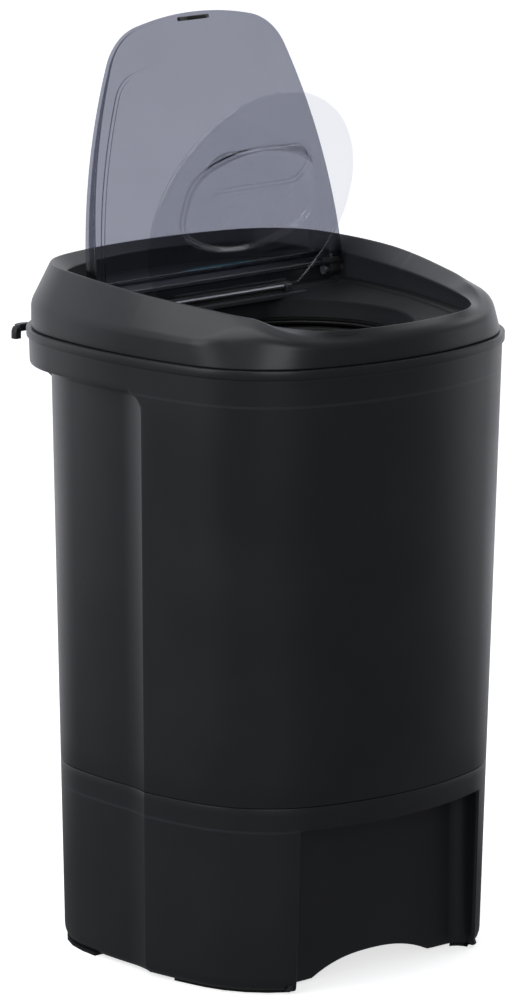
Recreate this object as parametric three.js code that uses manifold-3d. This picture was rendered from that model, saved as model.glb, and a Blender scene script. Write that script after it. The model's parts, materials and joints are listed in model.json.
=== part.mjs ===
// Portable spin dryer (laundry centrifuge) with its lids open.
// Millimetres. Front is -Y, right is +X, up is +Z, and the floor is z = 0.
// The cabinet is drawn about its own vertical centre line, and the whole group is then moved
// along Y so that the origin lies under the middle of the object's bounding box.
import * as THREE from 'three';
import { ConvexGeometry } from 'three/addons/geometries/ConvexGeometry.js';
import { mergeVertices } from 'three/addons/utils/BufferGeometryUtils.js';
import Module from 'manifold-3d';

const wasm = await Module();
wasm.setup();

// ---- driving dimensions ----
const GAP = 0.3;                 // clearance between parts that touch
const WALL = 3.5;                // cabinet wall
const SEAM_Z = 627;              // cabinet to top cover
const BASE_SEAM_Z = 190;         // base to cabinet
const DRAFT = 0.00013;           // narrowing of the plan per millimetre below the seam
const BODY = { halfWidth: 205.9, halfDepth: 220.7, frontRadius: 361, sideRadius: 579, cornerRadius: 124 };
const OUTLINE_STEPS = [3, 5, 3]; // points on the front arc, corner arc and side arc of a quadrant

const LIP = { proud: 2.3, height: 9 };
const COVER_INSET = 2.8;         // cover wall set back from the cabinet outline

// rear channel: the cabinet below the collar is set in at the sides and back
const RECESS = {
  top: 591, depth: 7, sweep: 35, corner: 18,
  startTop: -43, startSlope: 0.022, cornerRadius: 107,
};
const RECESS_BACK = { y: 183.4, z: 190, slope: 0.0006 };
const WEB = { x: 147, y: 142, thickness: 5 };
// outward, up
const WEB_PROFILE = [[-14, 545], [-4, 552], [0, 566], [8, 578], [24, 587], [24, 592], [-14, 592]];

// basin bay: the hollow at the front of the base where a basin stands under the spout
const BAY = { halfWidth: 120, back: -156, front: -260, floor: -10, top: 166, corner: 14 };
const ARCH = { halfWidth: 80, crown: 19, power: 2.4 };
const SKIRT_Z = 3;
const SKIRT_RINGS = [[SKIRT_Z, 8], [6, 3.6], [11, 0.9], [16, 0]];     // height, inset of the outside
const SKIRT_LINING = [[SKIRT_Z - 1, 12], [6, 8], [16, WALL]];         // height, inset of the inside
const PAD = { inner: 26, outer: 8.5, top: 20, x: [88, 230], y: [60, 260] };
const FLOOR = { z: PAD.top + GAP, thickness: 3, inset: WALL + 3, vent: 42 };
const FLOOR_SLOT = { x: 75, halfWidth: 22, y: 95, width: 8, pitch: 22, rows: 3 };

const DRUM_Y = -50;              // vertical axis of drum, tub and motor
const THROAT = { topRadius: 112, topZ: 640.5, bottomRadius: 104, bottomZ: 625.3, chordY: 46 };
const LEDGE_Z = 650;
const GUTTER = { floorZ: 646, front: 58, back: 86 };
const DECK_Z = 663;
const SHELL = 3;                 // cover thickness
const DECK_INSET = 37;
const POCKET_CEILING = 760;
const LEDGE_INSET = 12;          // lid outline to the funnel's upper edge

// The cover's rim: its crest falls to the front, and its inner edge lies in one gently tilted plane.
const CREST = {
  z: 687.5, frontSlope: 0.09, rearSlope: 0.085, rearBow: 0.00032,
  drop: 14, dropFrom: 160, dropTo: 212,
};
const CREST_INSET = {
  side: 23, shoulder: 13, shoulderFrom: -20, shoulderTo: 130,
  nose: 31, noseFrom: 150, noseTo: 228,
};
const CREASE = { z: 652, share: 0.76, insetShare: 0.35, noseFrom: 105, noseTo: 165 };
const BROW = { z: 671.5, slope: 0.05, overrun: 10 };
const SPIGOT = { below: 12, above: 4, clearance: 0.5 };
const ACCENT = { x: [20, 112], y: [128, 146], thickness: 0.6 };

const LID_HINGE = { y: 70, z: 658.7 };
const LID = { halfWidth: 166, halfDepth: 276, frontRadius: 340, sideRadius: 581, cornerRadius: 60 };
const LID_SKIN = 2.5;
const LID_REAR_Z = 9.3;          // lid top above the hinge axis, at the hinge
const LID_FRONT_Z = -2.2;        // lid top above the hinge axis, at the free end
const LID_FOOT_Z = -8.4;         // bottom of the skirt
const LID_OPEN = THREE.MathUtils.degToRad(99);
const OPENING_GAP = 3;           // lid to rim

const DISC_HINGE = { y: 55, z: 652 };
const DISC = { radius: 131, centre: 97, chord: 3, thickness: 3, lip: 4.5, lipWidth: 4, raise: 7 };
const DISC_OPEN = THREE.MathUtils.degToRad(70);

const LID_REAR = -5;             // rear edge of the lid ahead of its hinge axis
const LID_EDGE = 2;              // chamfer round the lid's top
const LID_PIN = { radius: 3, start: 146, end: 176, head: 2, headRadius: 4.5 };
const LID_EAR = { inner: 150, outer: 163, radius: 7, reach: 12 };
const LID_FIELD = { inset: 24, front: 44, rear: 16, raise: 4 };
const STRIKER = { halfWidth: 20, y0: -202, y1: -198, foot: -13 };

const DISC_ROD = {
  radius: 2, end: 84, lugX: 80, barrel: 75, barrelRadius: 3.6, tongue: 9, tongueDepth: 2.6,
  play: 0.2, notchEnd: 110, notchDepth: 8,
};
const LUG = { halfWidth: 4, front: 5, rear: 2.8, above: 3.4, barHalf: 100 };
const FIELD = { halfWidth: 90, halfDepth: 58, frontRadius: 150, sideRadius: 200, cornerRadius: 34 };
const FIELD_Y = -108;
const GRIP = { halfWidth: 66, halfDepth: 19, y: -141, depth: 4 };

const PLUNGER = { halfWidth: 6, bottom: 636, top: LEDGE_Z - 0.8 };
const INTERLOCK = { halfWidth: 26, front: 4, rear: 0.8, z0: 626, z1: 645.4, slotZ: 630 };

const TUB = { outer: 142, wall: 2.5, floorZ: 180, topZ: 618, ring: 102, ringZ: 621.3, gasket: 112 };
const DRUM = { outer: 130, wall: 2, floor: 2.5, floorZ: 206, topZ: 598, ring: 100, ringZ: 616 };
const DRAIN = { columns: 6, rows: 4, radius: 4, first: 45, pitch: 95 };
const SHAFT = { radius: 9, bottom: 58, top: 249 };
const HUB = { boss: 20.5, flange: 44, cone: 24, neck: 15, nut: 17, bottom: 201, top: 240 };
const BOSS = { outer: 21.5, inner: 17.3, flange: 42, bottom: 152, flangeZ: 168, top: 196 };
const SEAL = { radius: 20, top: 200 };
const BEARING = { upper: [182, 194], lower: [154, 166] };
const PLATE = { radius: 128, z0: 175.4, z1: 179.4 };
const SPOUT = { y: -170, inner: 9, outer: 11.5, flange: 16, flangeThickness: 2, below: 6, top: 178, hoseWall: 3 };
const GLAND = { x: 80, y: 186, faceY: 180, z: 60, radius: 9, bore: 4, length: 14 };

const MOTOR = { radius: 60, wall: 3, bottom: 45, top: 128, capTop: 134, capRadius: 66, postRadius: 5, postReach: 58 };
const STATOR = [36, 56, 62, 114];       // inner and outer radius, bottom, top
const ROTOR = [34, 64, 112];            // outer radius, bottom, top
const BRAKE = {
  radius: 38, z0: 139, z1: 149, armX: -52, armWidth: 8, pivotY: DRUM_Y - 70, tipY: DRUM_Y + 42,
  relief: 2, eye: 9, pin: 4, padDepth: 12, padHalf: 16, clearance: 0.4,
};
const MOUNT = { reach: 110, split: 50, base: 17, head: 15, spring: 11 };
const CAPACITOR = { x: 128, y: 40, radius: 18, height: 62, clipRadius: 20.5, clipZ: [45, 57] };
const HOOK = {
  x: 108, reach: 240, rootY: 208.9, tipX: 128, z: 610, thick: 8, drop: 11,
  plateHalf: 12, plateY: [206.9, 219.9], plateZ: [598, 616],
};

const BIG = 32;                  // facets round the drum and tub
const MEDIUM = 16;
const SMALL = 10;

// ---- materials ----
function plastic(color, roughness = 0.45) {
  return new THREE.MeshStandardMaterial({ color, roughness, metalness: 0 });
}
function metal(color, roughness = 0.35) {
  return new THREE.MeshStandardMaterial({ color, roughness, metalness: 0.9 });
}
function clear(color, opacity) {
  return new THREE.MeshStandardMaterial({ color, roughness: 0.08, metalness: 0, transparent: true, opacity });
}
const FINISH = {
  cabinet: plastic(0x2c2e31, 0.42),
  inside: plastic(0x1b1c1e, 0.5),
  drum: plastic(0x141517, 0.5),
  accent: plastic(0x2f8f9a, 0.4),
  white: plastic(0xd6d6d2, 0.55),
  rubber: plastic(0x151515, 0.85),
  smoked: clear(0x8e90a0, 0.55),
  clear: clear(0xd8dade, 0.3),
  steel: metal(0xb8bbbe),
  cast: metal(0x8a8d90, 0.5),
  motor: metal(0x55585c, 0.5),
  core: metal(0x6b5a48, 0.6),
};

// ---- solids ----
/** Join shared corners and turn the faces outward. */
function closed(geometry) {
  const bare = geometry.clone();
  bare.deleteAttribute('normal');
  bare.deleteAttribute('uv');
  const joined = mergeVertices(bare, 1e-4);
  const position = joined.attributes.position;
  const index = joined.index.array;
  const corner = (i) => new THREE.Vector3().fromBufferAttribute(position, index[i]);
  let volume = 0;
  for (let i = 0; i < index.length; i += 3) {
    volume += corner(i).dot(corner(i + 1).cross(corner(i + 2)));
  }
  if (volume < 0) {
    for (let i = 0; i < index.length; i += 3) {
      [index[i + 1], index[i + 2]] = [index[i + 2], index[i + 1]];
    }
  }
  return joined;
}

function solid(geometry) {
  const joined = closed(geometry);
  return new wasm.Manifold(new wasm.Mesh({
    numProp: 3,
    vertProperties: new Float32Array(joined.attributes.position.array),
    triVerts: new Uint32Array(joined.index.array),
  }));
}

function join(...solids) {
  return solids.reduce((sum, next) => sum.add(next));
}

function cut(body, ...tools) {
  return tools.reduce((rest, tool) => rest.subtract(tool), body);
}

function geometryOf(shape) {
  if (shape.isBufferGeometry) return closed(shape);
  const mesh = shape.getMesh();
  const geometry = new THREE.BufferGeometry();
  geometry.setAttribute('position', new THREE.BufferAttribute(mesh.vertProperties, 3));
  geometry.setIndex(new THREE.BufferAttribute(mesh.triVerts, 1));
  return geometry;
}

function part(name, shape, material) {
  const geometry = geometryOf(shape);
  geometry.computeVertexNormals();
  const mesh = new THREE.Mesh(geometry, material);
  mesh.name = name;
  return mesh;
}

/** Box between two corners. */
function block(x0, x1, y0, y1, z0, z1) {
  const box = new THREE.BoxGeometry(x1 - x0, y1 - y0, z1 - z0);
  return box.translate((x0 + x1) / 2, (y0 + y1) / 2, (z0 + z1) / 2);
}

/** Upright prism of a plan outline. */
function prism(points, z0, z1) {
  const shape = new THREE.Shape(points);
  return new THREE.ExtrudeGeometry(shape, { depth: z1 - z0, bevelEnabled: false }).translate(0, 0, z0);
}

/** Prism of a side outline, given as (y, z) points, between two x positions. */
function prismAlongX(points, x0, x1) {
  const yzx = new THREE.Matrix4().makeBasis(
    new THREE.Vector3(0, 1, 0), new THREE.Vector3(0, 0, 1), new THREE.Vector3(1, 0, 0));
  const shape = new THREE.Shape(points);
  const geometry = new THREE.ExtrudeGeometry(shape, { depth: x1 - x0, bevelEnabled: false });
  return geometry.applyMatrix4(yzx).translate(x0, 0, 0);
}

/** Prism of a front outline, given as (x, z) points, between two y positions. */
function prismAlongY(points, y0, y1) {
  const shape = new THREE.Shape(points);
  const geometry = new THREE.ExtrudeGeometry(shape, { depth: y1 - y0, bevelEnabled: false });
  return geometry.rotateX(Math.PI / 2).translate(0, y1, 0);
}

/** Cylinder or cone standing at (x, y). */
function post(x, y, z0, z1, radius, topRadius = radius, facets = SMALL) {
  const geometry = new THREE.CylinderGeometry(topRadius, radius, z1 - z0, facets);
  return geometry.rotateX(Math.PI / 2).translate(x, y, (z0 + z1) / 2);
}

/** Cylinder lying along X. */
function rod(x0, x1, y, z, radius, facets = SMALL) {
  const geometry = new THREE.CylinderGeometry(radius, radius, x1 - x0, facets);
  return geometry.rotateZ(Math.PI / 2).translate((x0 + x1) / 2, y, z);
}

/** Turned solid about the vertical line through (x, y); the profile is a closed loop of [radius, z]. */
function turned(profile, facets, x = 0, y = DRUM_Y) {
  const points = profile.map(([radius, z]) => new THREE.Vector2(radius, z));
  const onAxis = profile[0][0] === 0 && profile[profile.length - 1][0] === 0;
  if (!onAxis) points.push(points[0].clone());
  return new THREE.LatheGeometry(points, facets).rotateX(Math.PI / 2).translate(x, y, 0);
}

/** Washer or sleeve. */
function ring(inner, outer, z0, z1, facets = MEDIUM, x = 0, y = DRUM_Y) {
  return turned([[inner, z0], [outer, z0], [outer, z1], [inner, z1]], facets, x, y);
}

/** Closed skin through rings of equal length, each ordered anticlockwise from above, bottom ring first. */
function loft(rings) {
  const count = rings[0].length;
  const positions = rings.flat().flatMap((p) => [p.x, p.y, p.z]);
  const indices = [];
  for (let level = 0; level + 1 < rings.length; level += 1) {
    for (let i = 0; i < count; i += 1) {
      const a = level * count + i;
      const b = level * count + (i + 1) % count;
      indices.push(a, b, a + count, b, b + count, a + count);
    }
  }
  const lids = [[rings[0], 0, true], [rings[rings.length - 1], (rings.length - 1) * count, false]];
  for (const [points, first, under] of lids) {
    const middle = new THREE.Vector3();
    points.forEach((p) => middle.addScaledVector(p, 1 / count));
    const centre = positions.length / 3;
    positions.push(middle.x, middle.y, middle.z);
    for (let i = 0; i < count; i += 1) {
      const next = first + (i + 1) % count;
      indices.push(centre, under ? next : first + i, under ? first + i : next);
    }
  }
  const geometry = new THREE.BufferGeometry();
  geometry.setAttribute('position', new THREE.Float32BufferAttribute(positions, 3));
  geometry.setIndex(indices);
  return geometry;
}

const { lerp, smoothstep: smooth } = THREE.MathUtils;

/** A range on one side of the middle, low end first. */
function span(side, near, far) {
  return [side * near, side * far].sort((a, b) => a - b);
}

// ---- plan outlines ----
function arc(centre, radius, from, to, steps) {
  return Array.from({ length: steps }, (_, i) => {
    const angle = from + (to - from) * i / steps;
    return new THREE.Vector2(centre.x + radius * Math.cos(angle), centre.y + radius * Math.sin(angle));
  });
}

/** Front right quarter of a rounded plan: front arc, corner arc and side arc, all tangent. */
function quadrant(shape, inset = 0) {
  const front = new THREE.Vector2(0, shape.frontRadius - shape.halfDepth);
  const side = new THREE.Vector2(shape.halfWidth - shape.sideRadius, 0);
  const frontReach = shape.frontRadius - shape.cornerRadius;
  const sideReach = shape.sideRadius - shape.cornerRadius;
  const line = side.clone().sub(front);
  const span = line.length();
  const along = (frontReach ** 2 - sideReach ** 2 + span ** 2) / (2 * span);
  const across = Math.sqrt(frontReach ** 2 - along ** 2);
  line.normalize();
  const corner = new THREE.Vector2(
    front.x + line.x * along - line.y * across, front.y + line.y * along + line.x * across);
  const frontEnd = Math.atan2(corner.y - front.y, corner.x - front.x);
  const sideEnd = Math.atan2(corner.y - side.y, corner.x - side.x);
  const [frontSteps, cornerSteps, sideSteps] = OUTLINE_STEPS;
  return [
    ...arc(front, shape.frontRadius - inset, -Math.PI / 2, frontEnd, frontSteps),
    ...arc(corner, shape.cornerRadius - inset, frontEnd, sideEnd, cornerSteps),
    ...arc(side, shape.sideRadius - inset, sideEnd, 0, sideSteps),
    new THREE.Vector2(shape.halfWidth - inset, 0),
  ];
}

const flipX = (p) => new THREE.Vector2(-p.x, p.y);
const flipY = (p) => new THREE.Vector2(p.x, -p.y);

/** Anticlockwise outline from the front centre, mirrored left to right. */
function outlineFrom(rightHalf) {
  const left = rightHalf.slice(1, -1).reverse().map(flipX);
  return [...rightHalf, ...left];
}

function scaled(shape, factor) {
  return Object.fromEntries(Object.entries(shape).map(([key, value]) => [key, value * factor]));
}

function bodyShape(z) {
  return scaled(BODY, 1 - (SEAM_Z - z) * DRAFT);
}

function bodyOutline(z, inset = 0) {
  const quarter = quadrant(bodyShape(z), inset);
  return outlineFrom([...quarter, ...quarter.slice(0, -1).reverse().map(flipY)]);
}

function ringAt(points, z) {
  return points.map((p) => new THREE.Vector3(p.x, p.y, z));
}

function bodyRing(z, inset = 0) {
  return ringAt(bodyOutline(z, inset), z);
}

// ---- rear channel ----
function recessOutline(z, inset) {
  const shape = bodyShape(z);
  const start = RECESS.startTop + (RECESS.top - z) * RECESS.startSlope;
  const sideX = (y) => shape.halfWidth - shape.sideRadius + Math.sqrt(shape.sideRadius ** 2 - y ** 2);
  const sweepSteps = 5;
  const sweep = Array.from({ length: sweepSteps }, (_, i) => {
    const t = i / sweepSteps;
    const y = start + RECESS.sweep * t;
    return new THREE.Vector2(sideX(y) - RECESS.depth * (1 - (1 - t) ** 2) - inset, y);
  });
  const rear = {
    halfWidth: shape.halfWidth - RECESS.depth,
    halfDepth: RECESS_BACK.y + (z - RECESS_BACK.z) * RECESS_BACK.slope,
    frontRadius: shape.frontRadius,
    sideRadius: shape.sideRadius - RECESS.depth,
    cornerRadius: RECESS.cornerRadius,
  };
  const forward = new THREE.Vector2(sweep[0].x, start - 2 * RECESS.sweep);
  const back = quadrant(rear, inset).reverse().map(flipY);
  const right = [forward, ...sweep, ...back];
  return [...right, ...right.slice(0, -1).reverse().map(flipX)];
}

/** Everything outside the set-in sides and back, below the collar. */
function recessCutter(inset = 0) {
  const low = -20;
  const far = 300;
  const top = RECESS.top + inset;
  const startLow = RECESS.startTop + (RECESS.top - low) * RECESS.startSlope - inset;
  const startHigh = RECESS.startTop - inset;
  const corner = arc(new THREE.Vector2(startHigh + RECESS.corner, top - RECESS.corner),
    RECESS.corner, Math.PI / 2, Math.PI, 4);
  const side = [
    new THREE.Vector2(startLow, low), new THREE.Vector2(far, low), new THREE.Vector2(far, top),
    ...corner, new THREE.Vector2(startHigh, top - RECESS.corner),
  ];
  const core = loft([ringAt(recessOutline(low, inset), low), ringAt(recessOutline(top + 1, inset), top + 1)]);
  return solid(prismAlongX(side, -far, far)).subtract(solid(core));
}

/** Curved web between the collar and the set-in corner, one at each rear corner. */
function collarWeb(side) {
  const shape = new THREE.Shape(WEB_PROFILE.map(([out, z]) => new THREE.Vector2(out, z)));
  const web = new THREE.ExtrudeGeometry(shape, { depth: WEB.thickness, bevelEnabled: false });
  web.translate(0, 0, -WEB.thickness / 2).rotateX(Math.PI / 2).rotateZ(Math.PI / 4);
  if (side < 0) web.rotateZ(Math.PI / 2);
  return solid(web.translate(side * WEB.x, WEB.y, 0));
}

// ---- cabinet ----
function bodyShell() {
  const bottom = BASE_SEAM_Z + GAP / 2;
  const top = SEAM_Z - GAP / 2;
  const lipStart = SEAM_Z - LIP.height;
  const outer = solid(loft([
    bodyRing(bottom), bodyRing(lipStart - 1), bodyRing(lipStart, -LIP.proud), bodyRing(top, -LIP.proud),
  ]));
  const inner = solid(loft([bodyRing(bottom - 1, WALL), bodyRing(top + 1, WALL)]));
  const skin = cut(outer, recessCutter()).subtract(inner.subtract(recessCutter(WALL)));
  const webs = join(collarWeb(1), collarWeb(-1)).subtract(inner.subtract(recessCutter(WALL)));
  return skin.add(webs);
}

/** Plan of the basin bay, its rear corners rounded. */
function bayOutline(grow) {
  const half = BAY.halfWidth + grow;
  const back = BAY.back + grow;
  const radius = BAY.corner + grow;
  const bend = arc(new THREE.Vector2(half - radius, back - radius), radius, 0, Math.PI / 2, 4);
  const right = [new THREE.Vector2(half, BAY.front), ...bend, new THREE.Vector2(half - radius, back)];
  return [...right, ...right.slice().reverse().map(flipX)];
}

function baySolid(grow, top = BAY.top) {
  return solid(prism(bayOutline(grow), BAY.floor, top));
}

/** Shallow arch under the back wall of the bay. */
function archCutter() {
  const steps = 10;
  const arch = Array.from({ length: steps + 1 }, (_, i) => {
    const x = ARCH.halfWidth * (1 - 2 * i / steps);
    const fall = Math.abs(x / ARCH.halfWidth) ** ARCH.power;
    return new THREE.Vector2(x, ARCH.crown - (ARCH.crown - SKIRT_Z) * fall);
  });
  const low = [new THREE.Vector2(-ARCH.halfWidth, BAY.floor), new THREE.Vector2(ARCH.halfWidth, BAY.floor)];
  return solid(prismAlongY([...low, ...arch], BAY.back - 2, BAY.back + 2 * WALL));
}

/** Ring sector under the skirt that carries a foot; the sectors leave out the sides and the bay. */
function padSector(sideX, sideY, z0, z1) {
  const loop = solid(loft([bodyRing(z0, PAD.outer), bodyRing(z1, PAD.outer)]));
  const hole = solid(loft([bodyRing(z0 - 1, PAD.inner), bodyRing(z1 + 1, PAD.inner)]));
  const quarterBox = solid(block(...span(sideX, ...PAD.x), ...span(sideY, ...PAD.y), z0 - 1, z1 + 1));
  return cut(loop.subtract(hole).intersect(quarterBox), recessCutter(WALL / 2), baySolid(WALL / 2));
}

/** Hole through the rear wall for the gland. */
function glandHole() {
  const radius = GLAND.radius + GAP;
  return solid(new THREE.CylinderGeometry(radius, radius, 40, SMALL).translate(GLAND.x, GLAND.y, GLAND.z));
}

function baseShell() {
  const top = BASE_SEAM_Z - GAP / 2;
  const outer = solid(loft([...SKIRT_RINGS.map((ring) => bodyRing(...ring)), bodyRing(top)]));
  const inner = solid(loft([...SKIRT_LINING.map((ring) => bodyRing(...ring)), bodyRing(top + 1, WALL)]));
  const lining = cut(inner, recessCutter(WALL), baySolid(WALL, BAY.top + WALL));
  const skin = cut(outer, recessCutter(), baySolid(0)).subtract(lining);
  const pads = [[1, 1], [-1, 1], [1, -1], [-1, -1]].map(([x, y]) => padSector(x, y, SKIRT_Z, PAD.top));
  const spoutHole = solid(post(0, SPOUT.y, BAY.top - 1, BAY.top + WALL + 1, SPOUT.outer + GAP, undefined, MEDIUM));
  return cut(join(skin, ...pads), archCutter(), spoutHole, glandHole());
}

function foot(sideX, sideY) {
  return padSector(sideX, sideY, 0, SKIRT_Z - GAP);
}

/** Tray in the base that carries the drive, with a motor vent and cooling slots. */
function baseFloor() {
  const top = FLOOR.z + FLOOR.thickness;
  const slab = solid(loft([bodyRing(FLOOR.z, FLOOR.inset), bodyRing(top, FLOOR.inset)]));
  const vent = solid(post(0, DRUM_Y, FLOOR.z - 1, top + 1, FLOOR.vent, undefined, MEDIUM));
  const slots = [];
  for (let row = 0; row < FLOOR_SLOT.rows; row += 1) {
    const y = FLOOR_SLOT.y + row * FLOOR_SLOT.pitch;
    for (const side of [-1, 1]) {
      const x = side * FLOOR_SLOT.x;
      slots.push(solid(block(x - FLOOR_SLOT.halfWidth, x + FLOOR_SLOT.halfWidth, y, y + FLOOR_SLOT.width,
        FLOOR.z - 1, top + 1)));
    }
  }
  return cut(slab, recessCutter(FLOOR.inset), vent, baySolid(FLOOR.inset), ...slots);
}

// ---- top cover ----
/** Height of the rim's crest along the cabinet's depth. */
function crestZ(y) {
  const slope = y < 0 ? CREST.frontSlope * y : CREST.rearSlope * y - CREST.rearBow * y * y;
  return CREST.z + slope - CREST.drop * smooth(-y, CREST.dropFrom, CREST.dropTo);
}

/** Distance of the crest from the cabinet outline. */
function crestInset(y) {
  const shoulder = CREST_INSET.shoulder * smooth(-y, CREST_INSET.shoulderFrom, CREST_INSET.shoulderTo);
  return CREST_INSET.side + shoulder - CREST_INSET.nose * smooth(-y, CREST_INSET.noseFrom, CREST_INSET.noseTo);
}

/** Plan of the hollow's edge: lid opening in front, hinge gutter, deck behind. */
function pocketEdge() {
  const front = quadrant(LID, -OPENING_GAP).map((p) => new THREE.Vector2(p.x, p.y + LID_HINGE.y));
  const rear = quadrant(BODY, DECK_INSET).reverse().map(flipY).filter((p) => p.y > GUTTER.back);
  return outlineFrom([...front, new THREE.Vector2(LID.halfWidth + OPENING_GAP, GUTTER.back), ...rear]);
}

/** Distance from a point, along a direction, to the nearest edge of a closed outline. */
function distanceTo(outline, from, direction) {
  const hits = outline.map((start, i) => {
    const edge = outline[(i + 1) % outline.length].clone().sub(start);
    const gap = start.clone().sub(from);
    const across = direction.cross(edge);
    const along = gap.cross(edge) / across;
    const share = gap.cross(direction) / across;
    return along > 0 && share >= 0 && share <= 1 ? along : Infinity;
  });
  return Math.min(...hits);
}

/** Top cover skin: seam, crease, crest and inner edge, thinned by a wall where wanted. */
function coverHull(thin) {
  const seam = bodyOutline(SEAM_Z);
  const edge = pocketEdge();
  const inward = seam.map((_, i) => {
    const before = seam[(i + seam.length - 1) % seam.length];
    const after = seam[(i + 1) % seam.length];
    return new THREE.Vector2(before.y - after.y, after.x - before.x).normalize();
  });
  const nose = (y) => smooth(-y, CREASE.noseFrom, CREASE.noseTo);
  const creaseZ = (y) => lerp(CREASE.z, lerp(SEAM_Z, crestZ(y), CREASE.share), nose(y));
  const creaseInset = (y) => Math.max(COVER_INSET, lerp(COVER_INSET, crestInset(y) * CREASE.insetShare, nose(y)));
  const at = (inset, height) => seam.map((p, i) => {
    const place = p.clone().addScaledVector(inward[i], inset(p, i) + thin);
    return new THREE.Vector3(place.x, place.y, height(p, place));
  });
  const bottom = thin > 0 ? SEAM_Z - 1 : SEAM_Z + GAP / 2;
  const under = 1.4 * thin;
  const brow = (beyond) => at((p, i) => distanceTo(edge, p, inward[i]) + beyond,
    (p, place) => BROW.z + BROW.slope * place.y - under);
  return solid(loft([
    at(() => COVER_INSET, () => bottom),
    at((p) => creaseInset(p.y), (p) => creaseZ(p.y) - 0.3 * thin),
    at((p) => crestInset(p.y), (p) => crestZ(p.y) - under),
    brow(0),
    brow(BROW.overrun),
  ]));
}

/** Plan of the lid's opening in front of the hinge line, or of the lid itself. */
function lidOutline(shape, inset, hingeY, rearY) {
  const quarter = quadrant(shape, inset).map((p) => new THREE.Vector2(p.x, p.y + hingeY));
  const last = quarter[quarter.length - 1];
  return outlineFrom([...quarter.slice(0, -1), new THREE.Vector2(last.x, rearY), new THREE.Vector2(0, rearY)]);
}

function openingOutline(grow) {
  return lidOutline(LID, -OPENING_GAP - grow, LID_HINGE.y, LID_HINGE.y + 1);
}

function deckOutline(grow) {
  const rear = bodyOutline(SEAM_Z, DECK_INSET - grow).filter((p) => p.y > GUTTER.back - grow);
  const front = GUTTER.back - grow - 1;
  return [new THREE.Vector2(rear[0].x, front), ...rear, new THREE.Vector2(rear[rear.length - 1].x, front)];
}

/** The hollow above the cover: lid seat, hinge gutter, deck, funnel and throat. */
function coverPocket(grow) {
  const seat = solid(prism(openingOutline(grow), LEDGE_Z - grow, POCKET_CEILING));
  const half = LID.halfWidth + OPENING_GAP + grow;
  const gutter = solid(block(-half, half, GUTTER.front - grow, GUTTER.back + grow,
    GUTTER.floorZ - grow, POCKET_CEILING));
  const deck = solid(prism(deckOutline(grow), DECK_Z - grow, POCKET_CEILING));
  const ledge = lidOutline(LID, LEDGE_INSET - grow, LID_HINGE.y, GUTTER.front + 1);
  const mouth = arc(new THREE.Vector2(0, DRUM_Y), THROAT.topRadius + grow, 0, 2 * Math.PI, BIG);
  const funnel = solid(new ConvexGeometry([
    ...ringAt(ledge, LEDGE_Z + 0.5), ...ringAt(ledge, LEDGE_Z - grow), ...ringAt(mouth, THROAT.topZ - grow),
  ]));
  const low = grow > 0 ? THROAT.bottomZ : THROAT.bottomZ - 10;
  const throat = solid(post(0, DRUM_Y, low, THROAT.topZ + 1,
    THROAT.bottomRadius + grow, THROAT.topRadius + grow, BIG));
  return join(seat, gutter, deck, funnel, throat);
}

/** Lugs for the inner lid's rod, with the bar that carries them across the back of the throat. */
function discLugs() {
  const low = GUTTER.floorZ - SHELL;
  const bar = solid(block(-LUG.barHalf, LUG.barHalf, THROAT.chordY, GUTTER.front + 2, low, GUTTER.floorZ));
  const lugs = [-1, 1].map((side) => {
    const x = side * DISC_ROD.lugX;
    return solid(block(x - LUG.halfWidth, x + LUG.halfWidth, DISC_HINGE.y - LUG.front, DISC_HINGE.y + LUG.rear,
      low, DISC_HINGE.z + LUG.above));
  });
  return join(bar, ...lugs);
}

/** Collar under the cover that drops inside the cabinet. */
function spigot() {
  const low = SEAM_Z - SPIGOT.below;
  const high = SEAM_Z + SPIGOT.above;
  const outside = WALL + SPIGOT.clearance;
  const outer = solid(loft([bodyRing(low, outside), bodyRing(high, outside)]));
  const inner = solid(loft([bodyRing(low - 1, outside + SHELL), bodyRing(high + 1, outside + SHELL)]));
  return outer.subtract(inner);
}

function topCover() {
  const hollow = coverHull(SHELL).subtract(coverPocket(SHELL));
  const shell = cut(coverHull(0), coverPocket(0), hollow);
  const strikerSlot = solid(block(-STRIKER.halfWidth - 1, STRIKER.halfWidth + 1,
    STRIKER.y0 - 1, STRIKER.y1 + 1, LEDGE_Z - 3 * SHELL, LEDGE_Z + 1));
  const pinHole = solid(rod(-LID_PIN.end - 1, LID_PIN.end + 1, LID_HINGE.y, LID_HINGE.z, LID_PIN.radius + GAP));
  const rodHole = solid(rod(-DISC_ROD.end, DISC_ROD.end, DISC_HINGE.y, DISC_HINGE.z, DISC_ROD.radius + GAP));
  return cut(join(shell, spigot(), discLugs()), strikerSlot, pinHole, rodHole);
}

/** Plain coloured inlay on the deck behind the hinge. */
function deckAccent() {
  return block(...ACCENT.x, ...ACCENT.y, DECK_Z + GAP, DECK_Z + GAP + ACCENT.thickness);
}

// ---- lids, drawn closed about their hinge axes ----
function lidTop(y) {
  return lerp(LID_REAR_Z, LID_FRONT_Z, -y / LID.halfDepth);
}

function lidRing(points, height) {
  return points.map((p) => new THREE.Vector3(p.x, p.y, typeof height === 'function' ? height(p.y) : height));
}

/** Two knuckles at the lid's rear corners, bored for the pins. */
function lidEars() {
  const ears = [-1, 1].map((side) => {
    const x = span(side, LID_EAR.inner, LID_EAR.outer);
    const root = block(...x, -LID_EAR.reach, 0, -LID_EAR.radius, LID_EAR.radius - 1);
    return join(solid(rod(...x, 0, 0, LID_EAR.radius)), solid(root));
  });
  return join(...ears);
}

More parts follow.
